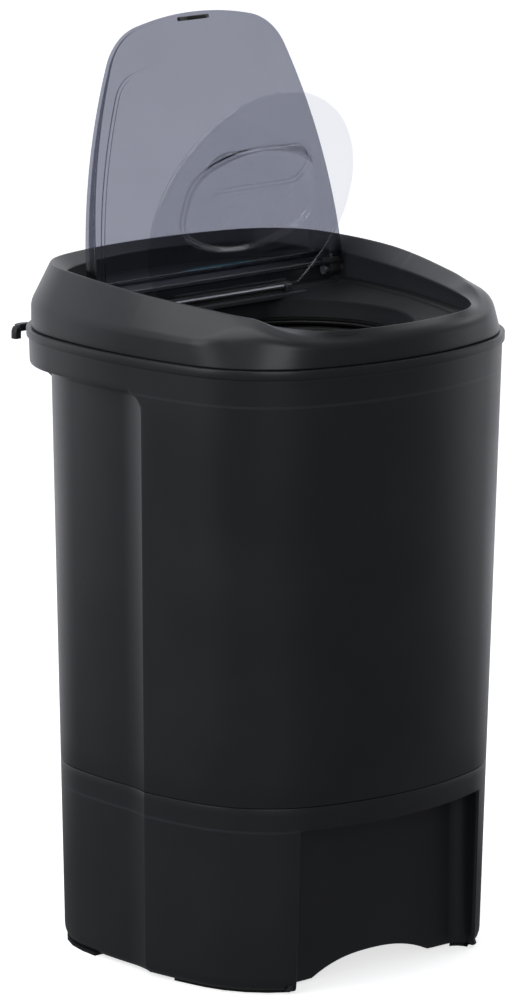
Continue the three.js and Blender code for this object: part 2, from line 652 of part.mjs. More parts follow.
function outerLid() {
  const skirt = (z0, z1, inset, topInset) => [
    lidRing(lidOutline(LID, inset, 0, LID_REAR - inset), z0),
    lidRing(lidOutline(LID, topInset, 0, LID_REAR - inset), z1),
  ];
  const edgeZ = (y) => lidTop(y) - LID_EDGE;
  const [foot, edge] = skirt(LID_FOOT_Z, edgeZ, 0, 0);
  const outer = solid(loft([foot, edge, lidRing(lidOutline(LID, LID_EDGE, 0, LID_REAR), lidTop)]));
  const inner = solid(loft(skirt(LID_FOOT_Z - 1, (y) => lidTop(y) - LID_SKIN, LID_SKIN, LID_SKIN)));
  const field = { ...LID, halfDepth: LID.halfDepth - LID_FIELD.front + LID_FIELD.inset };
  const plateau = (inset, low, high) => {
    const outline = lidOutline(field, LID_FIELD.inset + inset, 0, -LID_FIELD.rear - inset);
    return solid(loft([lidRing(outline, (y) => lidTop(y) + low), lidRing(outline, (y) => lidTop(y) + high)]));
  };
  const raised = plateau(0, -1, LID_FIELD.raise);
  const under = plateau(LID_SKIN, -LID_SKIN - 1, LID_FIELD.raise - LID_SKIN);
  const bore = solid(rod(-LID_PIN.end, LID_PIN.end, 0, 0, LID_PIN.radius + GAP));
  return cut(join(outer, raised), inner, under).add(lidEars()).subtract(bore);
}

/** Tongue under the lid's free end that reaches down to the interlock. */
function lidStriker() {
  const y0 = STRIKER.y0 - LID_HINGE.y;
  const y1 = STRIKER.y1 - LID_HINGE.y;
  return block(-STRIKER.halfWidth, STRIKER.halfWidth, y0, y1, STRIKER.foot, lidTop(y0) - LID_SKIN - GAP);
}

function lidPin(side) {
  const shank = rod(...span(side, LID_PIN.start, LID_PIN.end), LID_HINGE.y, LID_HINGE.z, LID_PIN.radius);
  const head = rod(...span(side, LID_PIN.start - LID_PIN.head, LID_PIN.start), LID_HINGE.y, LID_HINGE.z,
    LID_PIN.headRadius);
  return join(solid(shank), solid(head));
}

function discRod() {
  return rod(-DISC_ROD.end + 1, DISC_ROD.end - 1, DISC_HINGE.y, DISC_HINGE.z, DISC_ROD.radius);
}

function discCircle(inset) {
  const radius = DISC.radius - inset;
  const chordY = -DISC.chord - inset;
  const rise = Math.asin((chordY + DISC.centre) / radius);
  const steps = BIG - 4;
  return Array.from({ length: steps + 1 }, (_, i) => {
    const angle = Math.PI - rise + (Math.PI + 2 * rise) * i / steps;
    return new THREE.Vector2(radius * Math.cos(angle), radius * Math.sin(angle) - DISC.centre);
  });
}

function fieldOutline(inset) {
  const quarter = quadrant(FIELD, inset);
  const loop = outlineFrom([...quarter, ...quarter.slice(0, -1).reverse().map(flipY)]);
  return loop.map((p) => new THREE.Vector2(p.x, p.y + FIELD_Y));
}

function gripOutline(inset) {
  const radius = GRIP.halfDepth - inset;
  const bend = GRIP.halfWidth - GRIP.halfDepth;
  return [
    ...arc(new THREE.Vector2(bend, GRIP.y), radius, -Math.PI / 2, Math.PI / 2, 5),
    new THREE.Vector2(bend, GRIP.y + radius),
    ...arc(new THREE.Vector2(-bend, GRIP.y), radius, Math.PI / 2, 1.5 * Math.PI, 5),
    new THREE.Vector2(-bend, GRIP.y - radius),
  ];
}

function innerLid() {
  const dishFloorZ = DISC.raise - GRIP.depth;
  const plate = solid(prism(discCircle(0), -DISC.lip, 0));
  const under = solid(prism(discCircle(DISC.lipWidth), -DISC.lip - 1, -DISC.thickness));
  const raised = solid(prism(fieldOutline(0), -1, DISC.raise));
  const raisedUnder = solid(prism(fieldOutline(DISC.thickness), -DISC.thickness - 1, DISC.raise - DISC.thickness));
  const dish = solid(prism(gripOutline(0), dishFloorZ, DISC.raise + 1));
  const dishFloor = solid(prism(gripOutline(-DISC.thickness), dishFloorZ - DISC.thickness, DISC.raise - 1));
  const barrel = solid(rod(-DISC_ROD.barrel, DISC_ROD.barrel, 0, 0, DISC_ROD.barrelRadius));
  const tongue = solid(block(-DISC_ROD.barrel, DISC_ROD.barrel, -DISC_ROD.tongue, 0, -DISC_ROD.tongueDepth, 0));
  const bore = solid(rod(-DISC_ROD.end, DISC_ROD.end, 0, 0, DISC_ROD.radius + GAP));
  const lugNotches = [-1, 1].map((side) => solid(block(
    ...span(side, DISC_ROD.barrel + DISC_ROD.play, DISC_ROD.notchEnd), -DISC_ROD.notchDepth, 5, -DISC.lip - 1, 1)));
  const shell = cut(join(plate, raised), under, raisedUnder).add(dishFloor).subtract(dish);
  return cut(join(shell, barrel, tongue), bore, ...lugNotches);
}

// ---- lid interlock ----
function interlockHousing() {
  const reach = PLUNGER.halfWidth + GAP;
  const box = solid(block(-INTERLOCK.halfWidth, INTERLOCK.halfWidth,
    STRIKER.y0 - INTERLOCK.front, STRIKER.y1 + INTERLOCK.rear, INTERLOCK.z0, INTERLOCK.z1));
  const slot = solid(block(-reach, reach, STRIKER.y0 - GAP, STRIKER.y1 + GAP, INTERLOCK.slotZ, LEDGE_Z));
  return box.subtract(slot);
}

function interlockPlunger() {
  return block(-PLUNGER.halfWidth, PLUNGER.halfWidth, STRIKER.y0, STRIKER.y1, PLUNGER.bottom, PLUNGER.top);
}

// ---- drum, tub and drive ----
function tub() {
  const inner = TUB.outer - TUB.wall;
  const bucket = solid(turned([
    [BOSS.outer + GAP, TUB.floorZ], [TUB.outer, TUB.floorZ], [TUB.outer, TUB.topZ],
    [inner, TUB.topZ], [inner, TUB.floorZ + TUB.wall], [BOSS.outer + GAP, TUB.floorZ + TUB.wall],
  ], BIG));
  return bucket.subtract(solid(post(0, SPOUT.y, TUB.floorZ - 1, TUB.floorZ + 4, SPOUT.inner)));
}

/** Spin basket with staggered rows of drain holes. */
function drum() {
  const inner = DRUM.outer - DRUM.wall;
  const floorTop = DRUM.floorZ + DRUM.floor;
  const basket = solid(turned([
    [HUB.boss + GAP, DRUM.floorZ], [DRUM.outer, DRUM.floorZ], [DRUM.outer, DRUM.topZ],
    [inner, DRUM.topZ], [inner, floorTop], [HUB.boss + GAP, floorTop],
  ], BIG));
  const holes = [];
  for (let column = 0; column < DRAIN.columns; column += 1) {
    for (let row = 0; row < DRAIN.rows; row += 1) {
      const turn = 2 * Math.PI * (column + 0.5 * (row % 2)) / DRAIN.columns;
      const hole = new THREE.CylinderGeometry(DRAIN.radius, DRAIN.radius, 20, 4).translate(0, DRUM.outer, 0);
      holes.push(solid(hole.rotateZ(turn).translate(0, DRUM_Y, DRUM.floorZ + DRAIN.first + row * DRAIN.pitch)));
    }
  }
  return cut(basket, ...holes);
}

function drumHub() {
  const flangeZ = DRUM.floorZ + DRUM.floor + GAP;
  return turned([
    [SHAFT.radius + GAP, HUB.bottom], [HUB.boss, HUB.bottom], [HUB.boss, flangeZ], [HUB.flange, flangeZ],
    [HUB.flange, flangeZ + 5], [HUB.cone, flangeZ + 12], [HUB.neck, HUB.top], [SHAFT.radius + GAP, HUB.top],
  ], MEDIUM);
}

function hubNut() {
  return ring((SHAFT.radius + GAP) / Math.cos(Math.PI / 6), HUB.nut, HUB.top + GAP, SHAFT.top, 6);
}

function bearing([low, high]) {
  return ring(SHAFT.radius + GAP, BOSS.inner - GAP, low, high);
}

function bearingHousing() {
  return turned([
    [BOSS.inner, BOSS.bottom], [BOSS.outer, BOSS.bottom], [BOSS.outer, BOSS.flangeZ], [BOSS.flange, BOSS.flangeZ],
    [BOSS.flange, PLATE.z0 - GAP], [BOSS.outer, PLATE.z0 - GAP], [BOSS.outer, BOSS.top], [BOSS.inner, BOSS.top],
  ], MEDIUM);
}

function supportPlate() {
  const disc = solid(ring(BOSS.outer + GAP, PLATE.radius, PLATE.z0, PLATE.z1, BIG));
  return disc.subtract(solid(post(0, SPOUT.y, PLATE.z0 - 1, PLATE.z1 + 1, SPOUT.outer + 6, undefined, MEDIUM)));
}

function motorHousing() {
  const inner = MOTOR.radius - MOTOR.wall;
  const floorTop = MOTOR.bottom + MOTOR.wall;
  return turned([
    [0, MOTOR.bottom], [MOTOR.radius, MOTOR.bottom], [MOTOR.radius, MOTOR.top],
    [inner, MOTOR.top], [inner, floorTop], [0, floorTop],
  ], MEDIUM);
}

function motorCap() {
  return ring(SHAFT.radius + GAP, MOTOR.capRadius, MOTOR.top + GAP, MOTOR.capTop, MEDIUM);
}

function motorPost(turn) {
  const x = MOTOR.postReach * Math.cos(turn);
  const y = DRUM_Y + MOTOR.postReach * Math.sin(turn);
  return post(x, y, MOTOR.capTop + GAP, PLATE.z0 - GAP, MOTOR.postRadius);
}

// ---- brake ----
function brakeLever() {
  const z0 = BRAKE.z0 + BRAKE.relief;
  const z1 = BRAKE.z1 - BRAKE.relief;
  const x1 = BRAKE.armX + BRAKE.armWidth;
  const middle = BRAKE.armX + BRAKE.armWidth / 2;
  const arm = join(solid(block(BRAKE.armX, x1, BRAKE.pivotY, BRAKE.tipY, z0, z1)),
    solid(post(middle, BRAKE.pivotY, z0, z1, BRAKE.eye)));
  return arm.subtract(solid(post(middle, BRAKE.pivotY, z0 - 1, z1 + 1, BRAKE.pin + GAP)));
}

function brakePad() {
  const x0 = BRAKE.armX + BRAKE.armWidth + GAP;
  const pad = solid(block(x0, x0 + BRAKE.padDepth, DRUM_Y - BRAKE.padHalf, DRUM_Y + BRAKE.padHalf,
    BRAKE.z0 + 1, BRAKE.z1 - 1));
  const face = solid(post(0, DRUM_Y, BRAKE.z0, BRAKE.z1, BRAKE.radius + BRAKE.clearance, undefined, 48));
  return pad.subtract(face);
}

function brakePivot() {
  return post(BRAKE.armX + BRAKE.armWidth / 2, BRAKE.pivotY, BRAKE.z0 - 4, PLATE.z0 - GAP, BRAKE.pin);
}

// ---- suspension, capacitor, drain, cord fittings ----
function mountPlace(turn) {
  return [MOUNT.reach * Math.cos(turn), DRUM_Y + MOUNT.reach * Math.sin(turn)];
}

function mountRubber(turn) {
  const [x, y] = mountPlace(turn);
  const floorTop = FLOOR.z + FLOOR.thickness + GAP;
  return turned([[0, floorTop], [MOUNT.base, floorTop], [MOUNT.head, MOUNT.split], [0, MOUNT.split]], SMALL, x, y);
}

function mountSpring(turn) {
  const [x, y] = mountPlace(turn);
  return post(x, y, MOUNT.split + GAP, PLATE.z0 - GAP, MOUNT.spring);
}

function capacitor() {
  const z0 = FLOOR.z + FLOOR.thickness + GAP;
  return post(CAPACITOR.x, CAPACITOR.y, z0, z0 + CAPACITOR.height, CAPACITOR.radius, undefined, MEDIUM);
}

function capacitorClip() {
  return ring(CAPACITOR.radius + GAP, CAPACITOR.clipRadius, ...CAPACITOR.clipZ, MEDIUM, CAPACITOR.x, CAPACITOR.y);
}

function drainSpout() {
  const low = BAY.top - SPOUT.below;
  const seat = BAY.top + WALL + GAP;
  const flangeTop = seat + SPOUT.flangeThickness;
  return turned([
    [SPOUT.inner, low], [SPOUT.outer, low], [SPOUT.outer, seat], [SPOUT.flange, seat],
    [SPOUT.flange, flangeTop], [SPOUT.outer, flangeTop], [SPOUT.outer, SPOUT.top], [SPOUT.inner, SPOUT.top],
  ], MEDIUM, 0, SPOUT.y);
}

function drainHose() {
  const low = BAY.top + WALL + SPOUT.flangeThickness + 2 * GAP;
  return ring(SPOUT.outer + GAP, SPOUT.outer + SPOUT.hoseWall, low, TUB.floorZ - GAP, MEDIUM, 0, SPOUT.y);
}

/** Bushing in the rear wall where the mains lead enters. */
function cordGland() {
  const cylinder = (radius, length) => new THREE.CylinderGeometry(radius, radius, length, SMALL);
  const sleeve = solid(cylinder(GLAND.radius, GLAND.length).translate(0, GLAND.length / 2 - 3, 0));
  const collar = solid(cylinder(GLAND.radius + 4, 4));
  return cut(join(sleeve, collar), solid(cylinder(GLAND.bore, 60))).translate([GLAND.x, GLAND.faceY, GLAND.z]);
}

/** Bracket on the collar for winding the mains lead; its tongue turns outward and down. */
function cordHook(side) {
  const half = HOOK.thick / 2;
  const inner = HOOK.reach - HOOK.thick;
  const arm = block(...span(side, HOOK.x - half, HOOK.x + half), HOOK.rootY, HOOK.reach, HOOK.z - half, HOOK.z + half);
  const tongue = block(...span(side, HOOK.x - half, HOOK.tipX), inner, HOOK.reach, HOOK.z - half, HOOK.z + half);
  const tip = block(...span(side, HOOK.tipX - HOOK.thick, HOOK.tipX), inner, HOOK.reach, HOOK.z - HOOK.drop, HOOK.z);
  const plate = block(...span(side, HOOK.x - HOOK.plateHalf, HOOK.x + HOOK.plateHalf), ...HOOK.plateY, ...HOOK.plateZ);
  const wall = solid(loft([bodyRing(RECESS.top - 20, -GAP), bodyRing(SEAM_Z - LIP.height - 1, -GAP)]));
  return cut(join(solid(arm), solid(tongue), solid(tip), solid(plate)), wall);
}

// ---- assembly ----
function hingedGroup(hinge, angle, ...meshes) {
  const group = new THREE.Group();
  group.position.set(0, hinge.y, hinge.z);
  group.rotation.x = -angle;
  group.add(...meshes);
  return group;
}

const dryer = new THREE.Group();

dryer.add(
  part('base_shell', baseShell(), FINISH.cabinet),
  part('body_shell', bodyShell(), FINISH.cabinet),
  part('top_cover', topCover(), FINISH.cabinet),
  part('base_floor', baseFloor(), FINISH.inside),
  part('foot_front_left', foot(-1, -1), FINISH.rubber),
  part('foot_front_right', foot(1, -1), FINISH.rubber),
  part('foot_rear_left', foot(-1, 1), FINISH.rubber),
  part('foot_rear_right', foot(1, 1), FINISH.rubber),
  part('deck_accent', deckAccent(), FINISH.accent),
);

dryer.add(
  hingedGroup(LID_HINGE, LID_OPEN,
    part('outer_lid', outerLid(), FINISH.smoked),
    part('lid_striker', lidStriker(), FINISH.inside)),
  hingedGroup(DISC_HINGE, DISC_OPEN, part('inner_lid', innerLid(), FINISH.clear)),
  part('lid_pin_left', lidPin(-1), FINISH.steel),
  part('lid_pin_right', lidPin(1), FINISH.steel),
  part('inner_lid_rod', discRod(), FINISH.steel),
  part('interlock_housing', interlockHousing(), FINISH.inside),
  part('interlock_plunger', interlockPlunger(), FINISH.white),
);

dryer.add(
  part('tub', tub(), FINISH.inside),
  part('tub_ring', ring(TUB.ring, TUB.outer, TUB.topZ + GAP, TUB.ringZ, BIG), FINISH.inside),
  part('tub_gasket', ring(THROAT.bottomRadius, TUB.gasket, TUB.ringZ + GAP, THROAT.bottomZ - GAP, BIG), FINISH.rubber),
  part('drum', drum(), FINISH.drum),
  part('balance_ring', ring(DRUM.ring, DRUM.outer + 2, DRUM.topZ + GAP, DRUM.ringZ, BIG), FINISH.drum),
  part('drum_hub', drumHub(), FINISH.cast),
  part('hub_nut', hubNut(), FINISH.steel),
  part('drive_shaft', post(0, DRUM_Y, SHAFT.bottom, SHAFT.top, SHAFT.radius, undefined, MEDIUM), FINISH.steel),
  part('shaft_seal', ring(SHAFT.radius + GAP, SEAL.radius, BOSS.top + GAP, SEAL.top), FINISH.rubber),
  part('bearing_upper', bearing(BEARING.upper), FINISH.steel),
  part('bearing_lower', bearing(BEARING.lower), FINISH.steel),
  part('bearing_housing', bearingHousing(), FINISH.cast),
  part('support_plate', supportPlate(), FINISH.cast),
);

dryer.add(
  part('motor_housing', motorHousing(), FINISH.motor),
  part('motor_cap', motorCap(), FINISH.cast),
  part('motor_stator', ring(...STATOR), FINISH.core),
  part('motor_rotor', ring(SHAFT.radius + GAP, ...ROTOR), FINISH.cast),
  part('brake_drum', ring(SHAFT.radius + GAP, BRAKE.radius, BRAKE.z0, BRAKE.z1), FINISH.cast),
  part('brake_lever', brakeLever(), FINISH.steel),
  part('brake_pad', brakePad(), FINISH.rubber),
  part('brake_pivot', brakePivot(), FINISH.steel),
  part('capacitor', capacitor(), FINISH.white),
  part('capacitor_clip', capacitorClip(), FINISH.steel),
  part('drain_spout', drainSpout(), FINISH.inside),
  part('drain_hose', drainHose(), FINISH.rubber),
  part('cord_gland', cordGland(), FINISH.rubber),
  part('cord_hook_left', cordHook(-1), FINISH.cabinet),
  part('cord_hook_right', cordHook(1), FINISH.cabinet),
);

const THIRD = 2 * Math.PI / 3;
for (let i = 0; i < 3; i += 1) {
  const number = i + 1;
  const mountTurn = Math.PI / 2 + i * THIRD;
  dryer.add(
    part(`motor_post_${number}`, motorPost(i * THIRD), FINISH.steel),
    part(`mount_rubber_${number}`, mountRubber(mountTurn), FINISH.rubber),
    part(`mount_spring_${number}`, mountSpring(mountTurn), FINISH.steel),
  );
}

// The hooks reach further behind the cabinet than the lip does in front.
const frontReach = BODY.halfDepth + LIP.proud;
dryer.position.y = (frontReach - HOOK.reach) / 2;

export default dryer;
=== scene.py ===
"""Portable spin dryer with its smoked outer lid and clear inner lid open.

Shapes are worked out in millimetres about the cabinet's own vertical centre line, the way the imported
model is drawn, and are moved into the row frame, in metres, when each mesh is made.
"""
import json
import math

import bpy
import numpy as np
from mathutils import Matrix, Vector


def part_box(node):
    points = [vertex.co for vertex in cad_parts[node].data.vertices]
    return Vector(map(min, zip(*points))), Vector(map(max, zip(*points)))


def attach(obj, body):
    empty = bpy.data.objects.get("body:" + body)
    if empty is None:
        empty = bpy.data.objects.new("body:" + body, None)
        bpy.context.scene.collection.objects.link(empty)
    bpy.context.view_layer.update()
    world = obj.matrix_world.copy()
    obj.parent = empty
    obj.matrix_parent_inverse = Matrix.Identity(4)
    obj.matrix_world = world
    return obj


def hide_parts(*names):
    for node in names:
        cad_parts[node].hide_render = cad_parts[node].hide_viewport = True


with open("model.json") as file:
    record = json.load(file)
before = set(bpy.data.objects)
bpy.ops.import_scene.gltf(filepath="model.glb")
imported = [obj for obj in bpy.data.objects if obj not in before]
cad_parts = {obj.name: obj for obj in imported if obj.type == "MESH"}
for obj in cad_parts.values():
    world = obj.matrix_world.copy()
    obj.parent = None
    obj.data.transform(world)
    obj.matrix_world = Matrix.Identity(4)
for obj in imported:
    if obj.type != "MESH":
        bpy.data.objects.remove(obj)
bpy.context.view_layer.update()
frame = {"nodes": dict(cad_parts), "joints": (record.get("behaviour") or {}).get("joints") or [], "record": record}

# ---- dimensions, in millimetres ----
LIP_PROUD = 2.3
WALL = 3.5
BODY = (205.9, 220.7, 361.0, 579.0, 124.0)      # half width, half depth, front, side and corner radius
DRAFT = 0.00013
LIP_BOTTOM = 618.0
COLLAR_Z = 591.0
CHANNEL = {"depth": 7.0, "sweep": 35.0, "start": -43.0, "slope": 0.022, "corner": 18.0}
CHANNEL_BACK = {"y": 183.4, "z": 190.0, "slope": 0.0006, "corner": 107.0}
BAY = {"half": 120.0, "back": -156.0, "corner": 14.0, "edge": 2.5}
ARCH = {"half": 80.0, "crown": 19.0}
SKIRT_Z = 3.0
DRUM_Y = -50.0
SHIFT_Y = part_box("body_shell")[0].y * 1000 + BODY[1] + LIP_PROUD
SEAM_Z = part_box("body_shell")[1].z * 1000 + 0.15
BASE_SEAM_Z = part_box("base_shell")[1].z * 1000 + 0.15
JOINT = {j["name"]: j for j in frame["joints"]}
LID_HINGE = (70.0, JOINT["outer_lid_hinge"]["pos_m"][2] * 1000)
DISC_HINGE = (55.0, JOINT["inner_lid_hinge"]["pos_m"][2] * 1000)
LID_OPEN = math.radians(99)
DISC_OPEN = math.radians(70)
LID = (166.0, 276.0, 340.0, 581.0, 60.0)
LEDGE_Z = 650.0
FLOOR_BOTTOM = 643.0                             # underside of the rim wall, gutter and their neighbours
DECK_Z = 663.0
GUTTER = (58.0, 86.0, 646.0)                    # front, back, floor
LATCH_SLOT = ((-22.5, -204.0, 630.0), (22.5, -196.0, 655.0))
THROAT = {"mouth": 112.0, "mouth_z": 640.5, "neck": 104.0, "neck_z": 625.3, "chord": 46.0}


# ---- mesh helpers ----
def smoothstep(value, low, high):
    t = np.clip((np.asarray(value, float) - low) / (high - low), 0, 1)
    return t * t * (3 - 2 * t)


def lerp(a, b, t):
    return a + (b - a) * t


def to_frame(points):
    """Cabinet millimetres to row-frame metres."""
    moved = np.array(points, float)
    moved[:, 1] += SHIFT_Y
    return moved / 1000


def make(name, points, faces, material, body="cabinet", sharp=35.0, turn=None):
    """Mesh object from cabinet millimetres; turn is an optional 4x4 applied first, in millimetres."""
    points = np.asarray(points, float).reshape(-1, 3)
    if turn is not None:
        points = points @ np.array(turn)[:3, :3].T + np.array(turn)[:3, 3]
    mesh = bpy.data.meshes.new(name)
    mesh.from_pydata(to_frame(points).tolist(), [], [tuple(f) for f in faces])
    mesh.validate()
    mesh.shade_smooth()
    mesh.set_sharp_from_angle(angle=math.radians(sharp))
    mesh.materials.append(material)
    piece = bpy.data.objects.new(name, mesh)
    bpy.context.scene.collection.objects.link(piece)
    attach(piece, body)
    return piece


def skin(rings, wrap=False, caps=(False, False)):
    """Quads between closed rings of equal count; wrap joins the last ring to the first."""
    rings = [np.asarray(r, float) for r in rings]
    count = len(rings[0])
    points = np.concatenate(rings)
    faces = []
    last = len(rings) if wrap else len(rings) - 1
    for row in range(last):
        a, b = row * count, ((row + 1) % len(rings)) * count
        for i in range(count):
            j = (i + 1) % count
            faces.append((a + i, b + i, b + j, a + j))
    if caps[0]:
        faces.append(tuple(range(count)))
    if caps[1]:
        faces.append(tuple(range((len(rings) - 1) * count, len(rings) * count))[::-1])
    return points, faces


def at_height(outline, z):
    outline = np.asarray(outline, float)
    return np.column_stack([outline, np.broadcast_to(z, len(outline))])


def normals(outline):
    """Outward unit normals of an anticlockwise plan."""
    step = np.roll(outline, -1, 0) - np.roll(outline, 1, 0)
    n = np.column_stack([step[:, 1], -step[:, 0]])
    return n / np.linalg.norm(n, axis=1)[:, None]


def moved_out(outline, amount):
    outline = np.asarray(outline, float)
    return outline + normals(outline) * np.broadcast_to(amount, len(outline))[:, None]


def lathe(profile, count=96, x=0.0, y=DRUM_Y):
    """Closed solid turned about a vertical axis from a closed loop of (radius, z)."""
    angle = np.linspace(0, 2 * math.pi, count, endpoint=False)
    ring = np.column_stack([np.cos(angle), np.sin(angle)])
    rings = [at_height(ring * r + (x, y), z) for r, z in profile]
    return skin(rings, wrap=True)


def merged(*parts):
    points, faces, start = [], [], 0
    for p, f in parts:
        points.append(p)
        faces += [tuple(i + start for i in face) for face in f]
        start += len(p)
    return np.concatenate(points), faces


def cut_box(piece, low, high):
    """Takes a box, given in body millimetres, out of a piece."""
    a, b = to_frame([low, high])
    mesh = bpy.data.meshes.new("cutter")
    corners = [(x, y, z) for z in (a[2], b[2]) for y in (a[1], b[1]) for x in (a[0], b[0])]
    mesh.from_pydata(corners, [], [(0, 2, 3, 1), (4, 5, 7, 6), (0, 1, 5, 4), (2, 6, 7, 3), (0, 4, 6, 2),
                                   (1, 3, 7, 5)])
    cutter = bpy.data.objects.new("cutter", mesh)
    bpy.context.scene.collection.objects.link(cutter)
    step = piece.modifiers.new("cut", "BOOLEAN")
    step.operation, step.object, step.solver = "DIFFERENCE", cutter, "EXACT"
    bpy.context.view_layer.update()
    result = bpy.data.meshes.new_from_object(piece.evaluated_get(bpy.context.evaluated_depsgraph_get()))
    piece.modifiers.remove(step)
    piece.data = result
    bpy.data.objects.remove(cutter)
    bpy.data.meshes.remove(mesh)


def slab(outline, low, high, edge=0.8):
    """Plate with rounded upper edges."""
    k = 0.3 * edge
    rings = [at_height(outline, low), at_height(outline, high - edge),
             at_height(moved_out(outline, -k), high - k), at_height(moved_out(outline, -edge), high)]
    return skin([r[::-1] for r in rings], caps=(True, True))


def sweep(path, section):
    """Closed section, (side, up) pairs, carried along a path of 3-D points; up is +Z or +Y."""
    path = np.asarray(path, float)
    rings = []
    for i, p in enumerate(path):
        ahead = path[min(i + 1, len(path) - 1)] - path[max(i - 1, 0)]
        ahead /= np.linalg.norm(ahead)
        side = np.cross(ahead, (0, 1, 0) if abs(ahead[2]) > 0.7 else (0, 0, 1))
        side /= np.linalg.norm(side)
        up = np.cross(side, ahead)
        rings.append([p + side * a + up * b for a, b in section])
    return skin(rings, caps=(True, True))


def rounded_section(half_w, half_h, radius, steps=4):
    out = []
    for cx, cy, start in ((1, 1, 0), (-1, 1, 90), (-1, -1, 180), (1, -1, 270)):
        for k in range(steps + 1):
            a = math.radians(start + 90 * k / steps)
            out.append((cx * (half_w - radius) + radius * math.cos(a),
                        cy * (half_h - radius) + radius * math.sin(a)))
    return out


def softened(corners, radius, steps=6):
    """3-D or 2-D polyline with its inner corners replaced by short curves."""
    corners = [np.asarray(c, float) for c in corners]
    out = [corners[0]]
    for a, b, c in zip(corners, corners[1:], corners[2:]):
        u, v = a - b, c - b
        d = min(radius, np.linalg.norm(u) / 2, np.linalg.norm(v) / 2)
        p, q = b + u / np.linalg.norm(u) * d, b + v / np.linalg.norm(v) * d
        out += [(1 - t) ** 2 * p + 2 * t * (1 - t) * b + t * t * q for t in np.linspace(0, 1, steps)]
    return out + [corners[-1]]


# ---- plan outlines ----
def arc(centre, radius, start, end, steps):
    angle = np.linspace(start, end, steps, endpoint=False)
    return np.column_stack([centre[0] + radius * np.cos(angle), centre[1] + radius * np.sin(angle)])


def corner_facts(shape):
    """Centres and end angles of the front, corner and side arcs of a rounded plan."""
    w, d, rf, rs, rc = shape
    front, side = np.array([0, rf - d]), np.array([w - rs, 0])
    a, b = rf - rc, rs - rc
    line = side - front
    span = np.hypot(*line)
    along = (a * a - b * b + span * span) / (2 * span)
    line = line / span
    corner = front + line * along + np.array([-line[1], line[0]]) * math.sqrt(a * a - along * along)
    return (front, side, corner, math.atan2(*(corner - front)[::-1]), math.atan2(*(corner - side)[::-1]))


def quarter(shape, inset=0.0, steps=(16, 14, 28)):
    """Front centre to side centre, right half."""
    front, side, corner, a1, a2 = corner_facts(shape)
    _, _, rf, rs, rc = shape
    return np.concatenate([
        arc(front, rf - inset, -math.pi / 2, a1, steps[0]), arc(corner, rc - inset, a1, a2, steps[1]),
        arc(side, rs - inset, a2, 0, steps[2]), [(shape[0] - inset, 0)]])


def mirrored(right):
    """Whole anticlockwise plan from its right half, front centre to back centre."""
    return np.concatenate([right, right[-2:0:-1] * (-1, 1)])


def body_shape(z):
    k = 1 - (SEAM_Z - z) * DRAFT
    return tuple(v * k for v in BODY)


def side_x(shape, y):
    return shape[0] - shape[3] + np.sqrt(shape[3] ** 2 - np.asarray(y) ** 2)


def rear_run(shape, start_y):
    """Side from start_y to the rear corner, round it and along to the back centre."""
    front, side, corner, a1, a2 = corner_facts(shape)
    y_end = side[1] + shape[3] * math.sin(-a2)
    ys = np.linspace(start_y, y_end, 20, endpoint=False)
    straight = np.column_stack([side_x(shape, ys), ys])
    turned = arc(corner * (1, -1), shape[4], -a2, -a1, 16)
    back = arc(front * (1, -1), shape[2], -a1, math.pi / 2, 16)
    return np.concatenate([straight, turned, back, [(0, shape[1])]])


FRONT_STEPS, CORNER_STEPS, SIDE_STEPS = 26, 16, 14
SWEEP_AT = np.concatenate([[0, 0.012, 0.04], np.linspace(0.09, 1, 12, endpoint=False)])


def face_y(shape, x):
    """Front of the plan at x: the front arc, then the corner arc."""
    front, _, corner, a1, _ = corner_facts(shape)
    x = np.asarray(x, float)
    on_front = front[1] - np.sqrt(shape[2] ** 2 - x ** 2)
    on_corner = corner[1] - np.sqrt(np.maximum(shape[4] ** 2 - (x - corner[0]) ** 2, 0))
    return np.where(x <= front[0] + shape[2] * math.cos(a1), on_front, on_corner)


def front_run(shape):
    """Front centre to the bay's edge, then round the corner; and the y where the side begins."""
    _, side, corner, _, a2 = corner_facts(shape)
    edge = BAY["half"] + BAY["edge"]
    xs = np.linspace(0, edge, FRONT_STEPS, endpoint=False)
    start = -math.acos((edge - corner[0]) / shape[4])
    turned = arc(corner, shape[4], start, a2, CORNER_STEPS)
    return np.concatenate([np.column_stack([xs, face_y(shape, xs)]),
                           turned]), side[1] + shape[3] * math.sin(a2)


def bay_run(shape, shrink=0.0):
    """From the middle of the bay's back wall, round its corner and out to the front face."""
    half, back = BAY["half"] - shrink, BAY["back"] - shrink
    radius, edge = BAY["corner"], BAY["edge"]
    wall = [(x, back) for x in np.linspace(0, half - radius, 12, endpoint=False)]
    bend = arc((half - radius, back - radius), radius, math.pi / 2, 0, 6)
    y_face = float(face_y(shape, BAY["half"] + edge))
    run = [(half, y) for y in np.linspace(back - radius, y_face + edge, 4, endpoint=False)]
    turns = np.linspace(0, math.pi / 2, 4, endpoint=False)
    lip = [(BAY["half"] + edge * (1 - math.cos(a)) - shrink * (1 - k / 4), y_face + edge * (1 - math.sin(a)))
           for k, a in enumerate(turns)]
    return np.concatenate([wall, bend, run, lip])


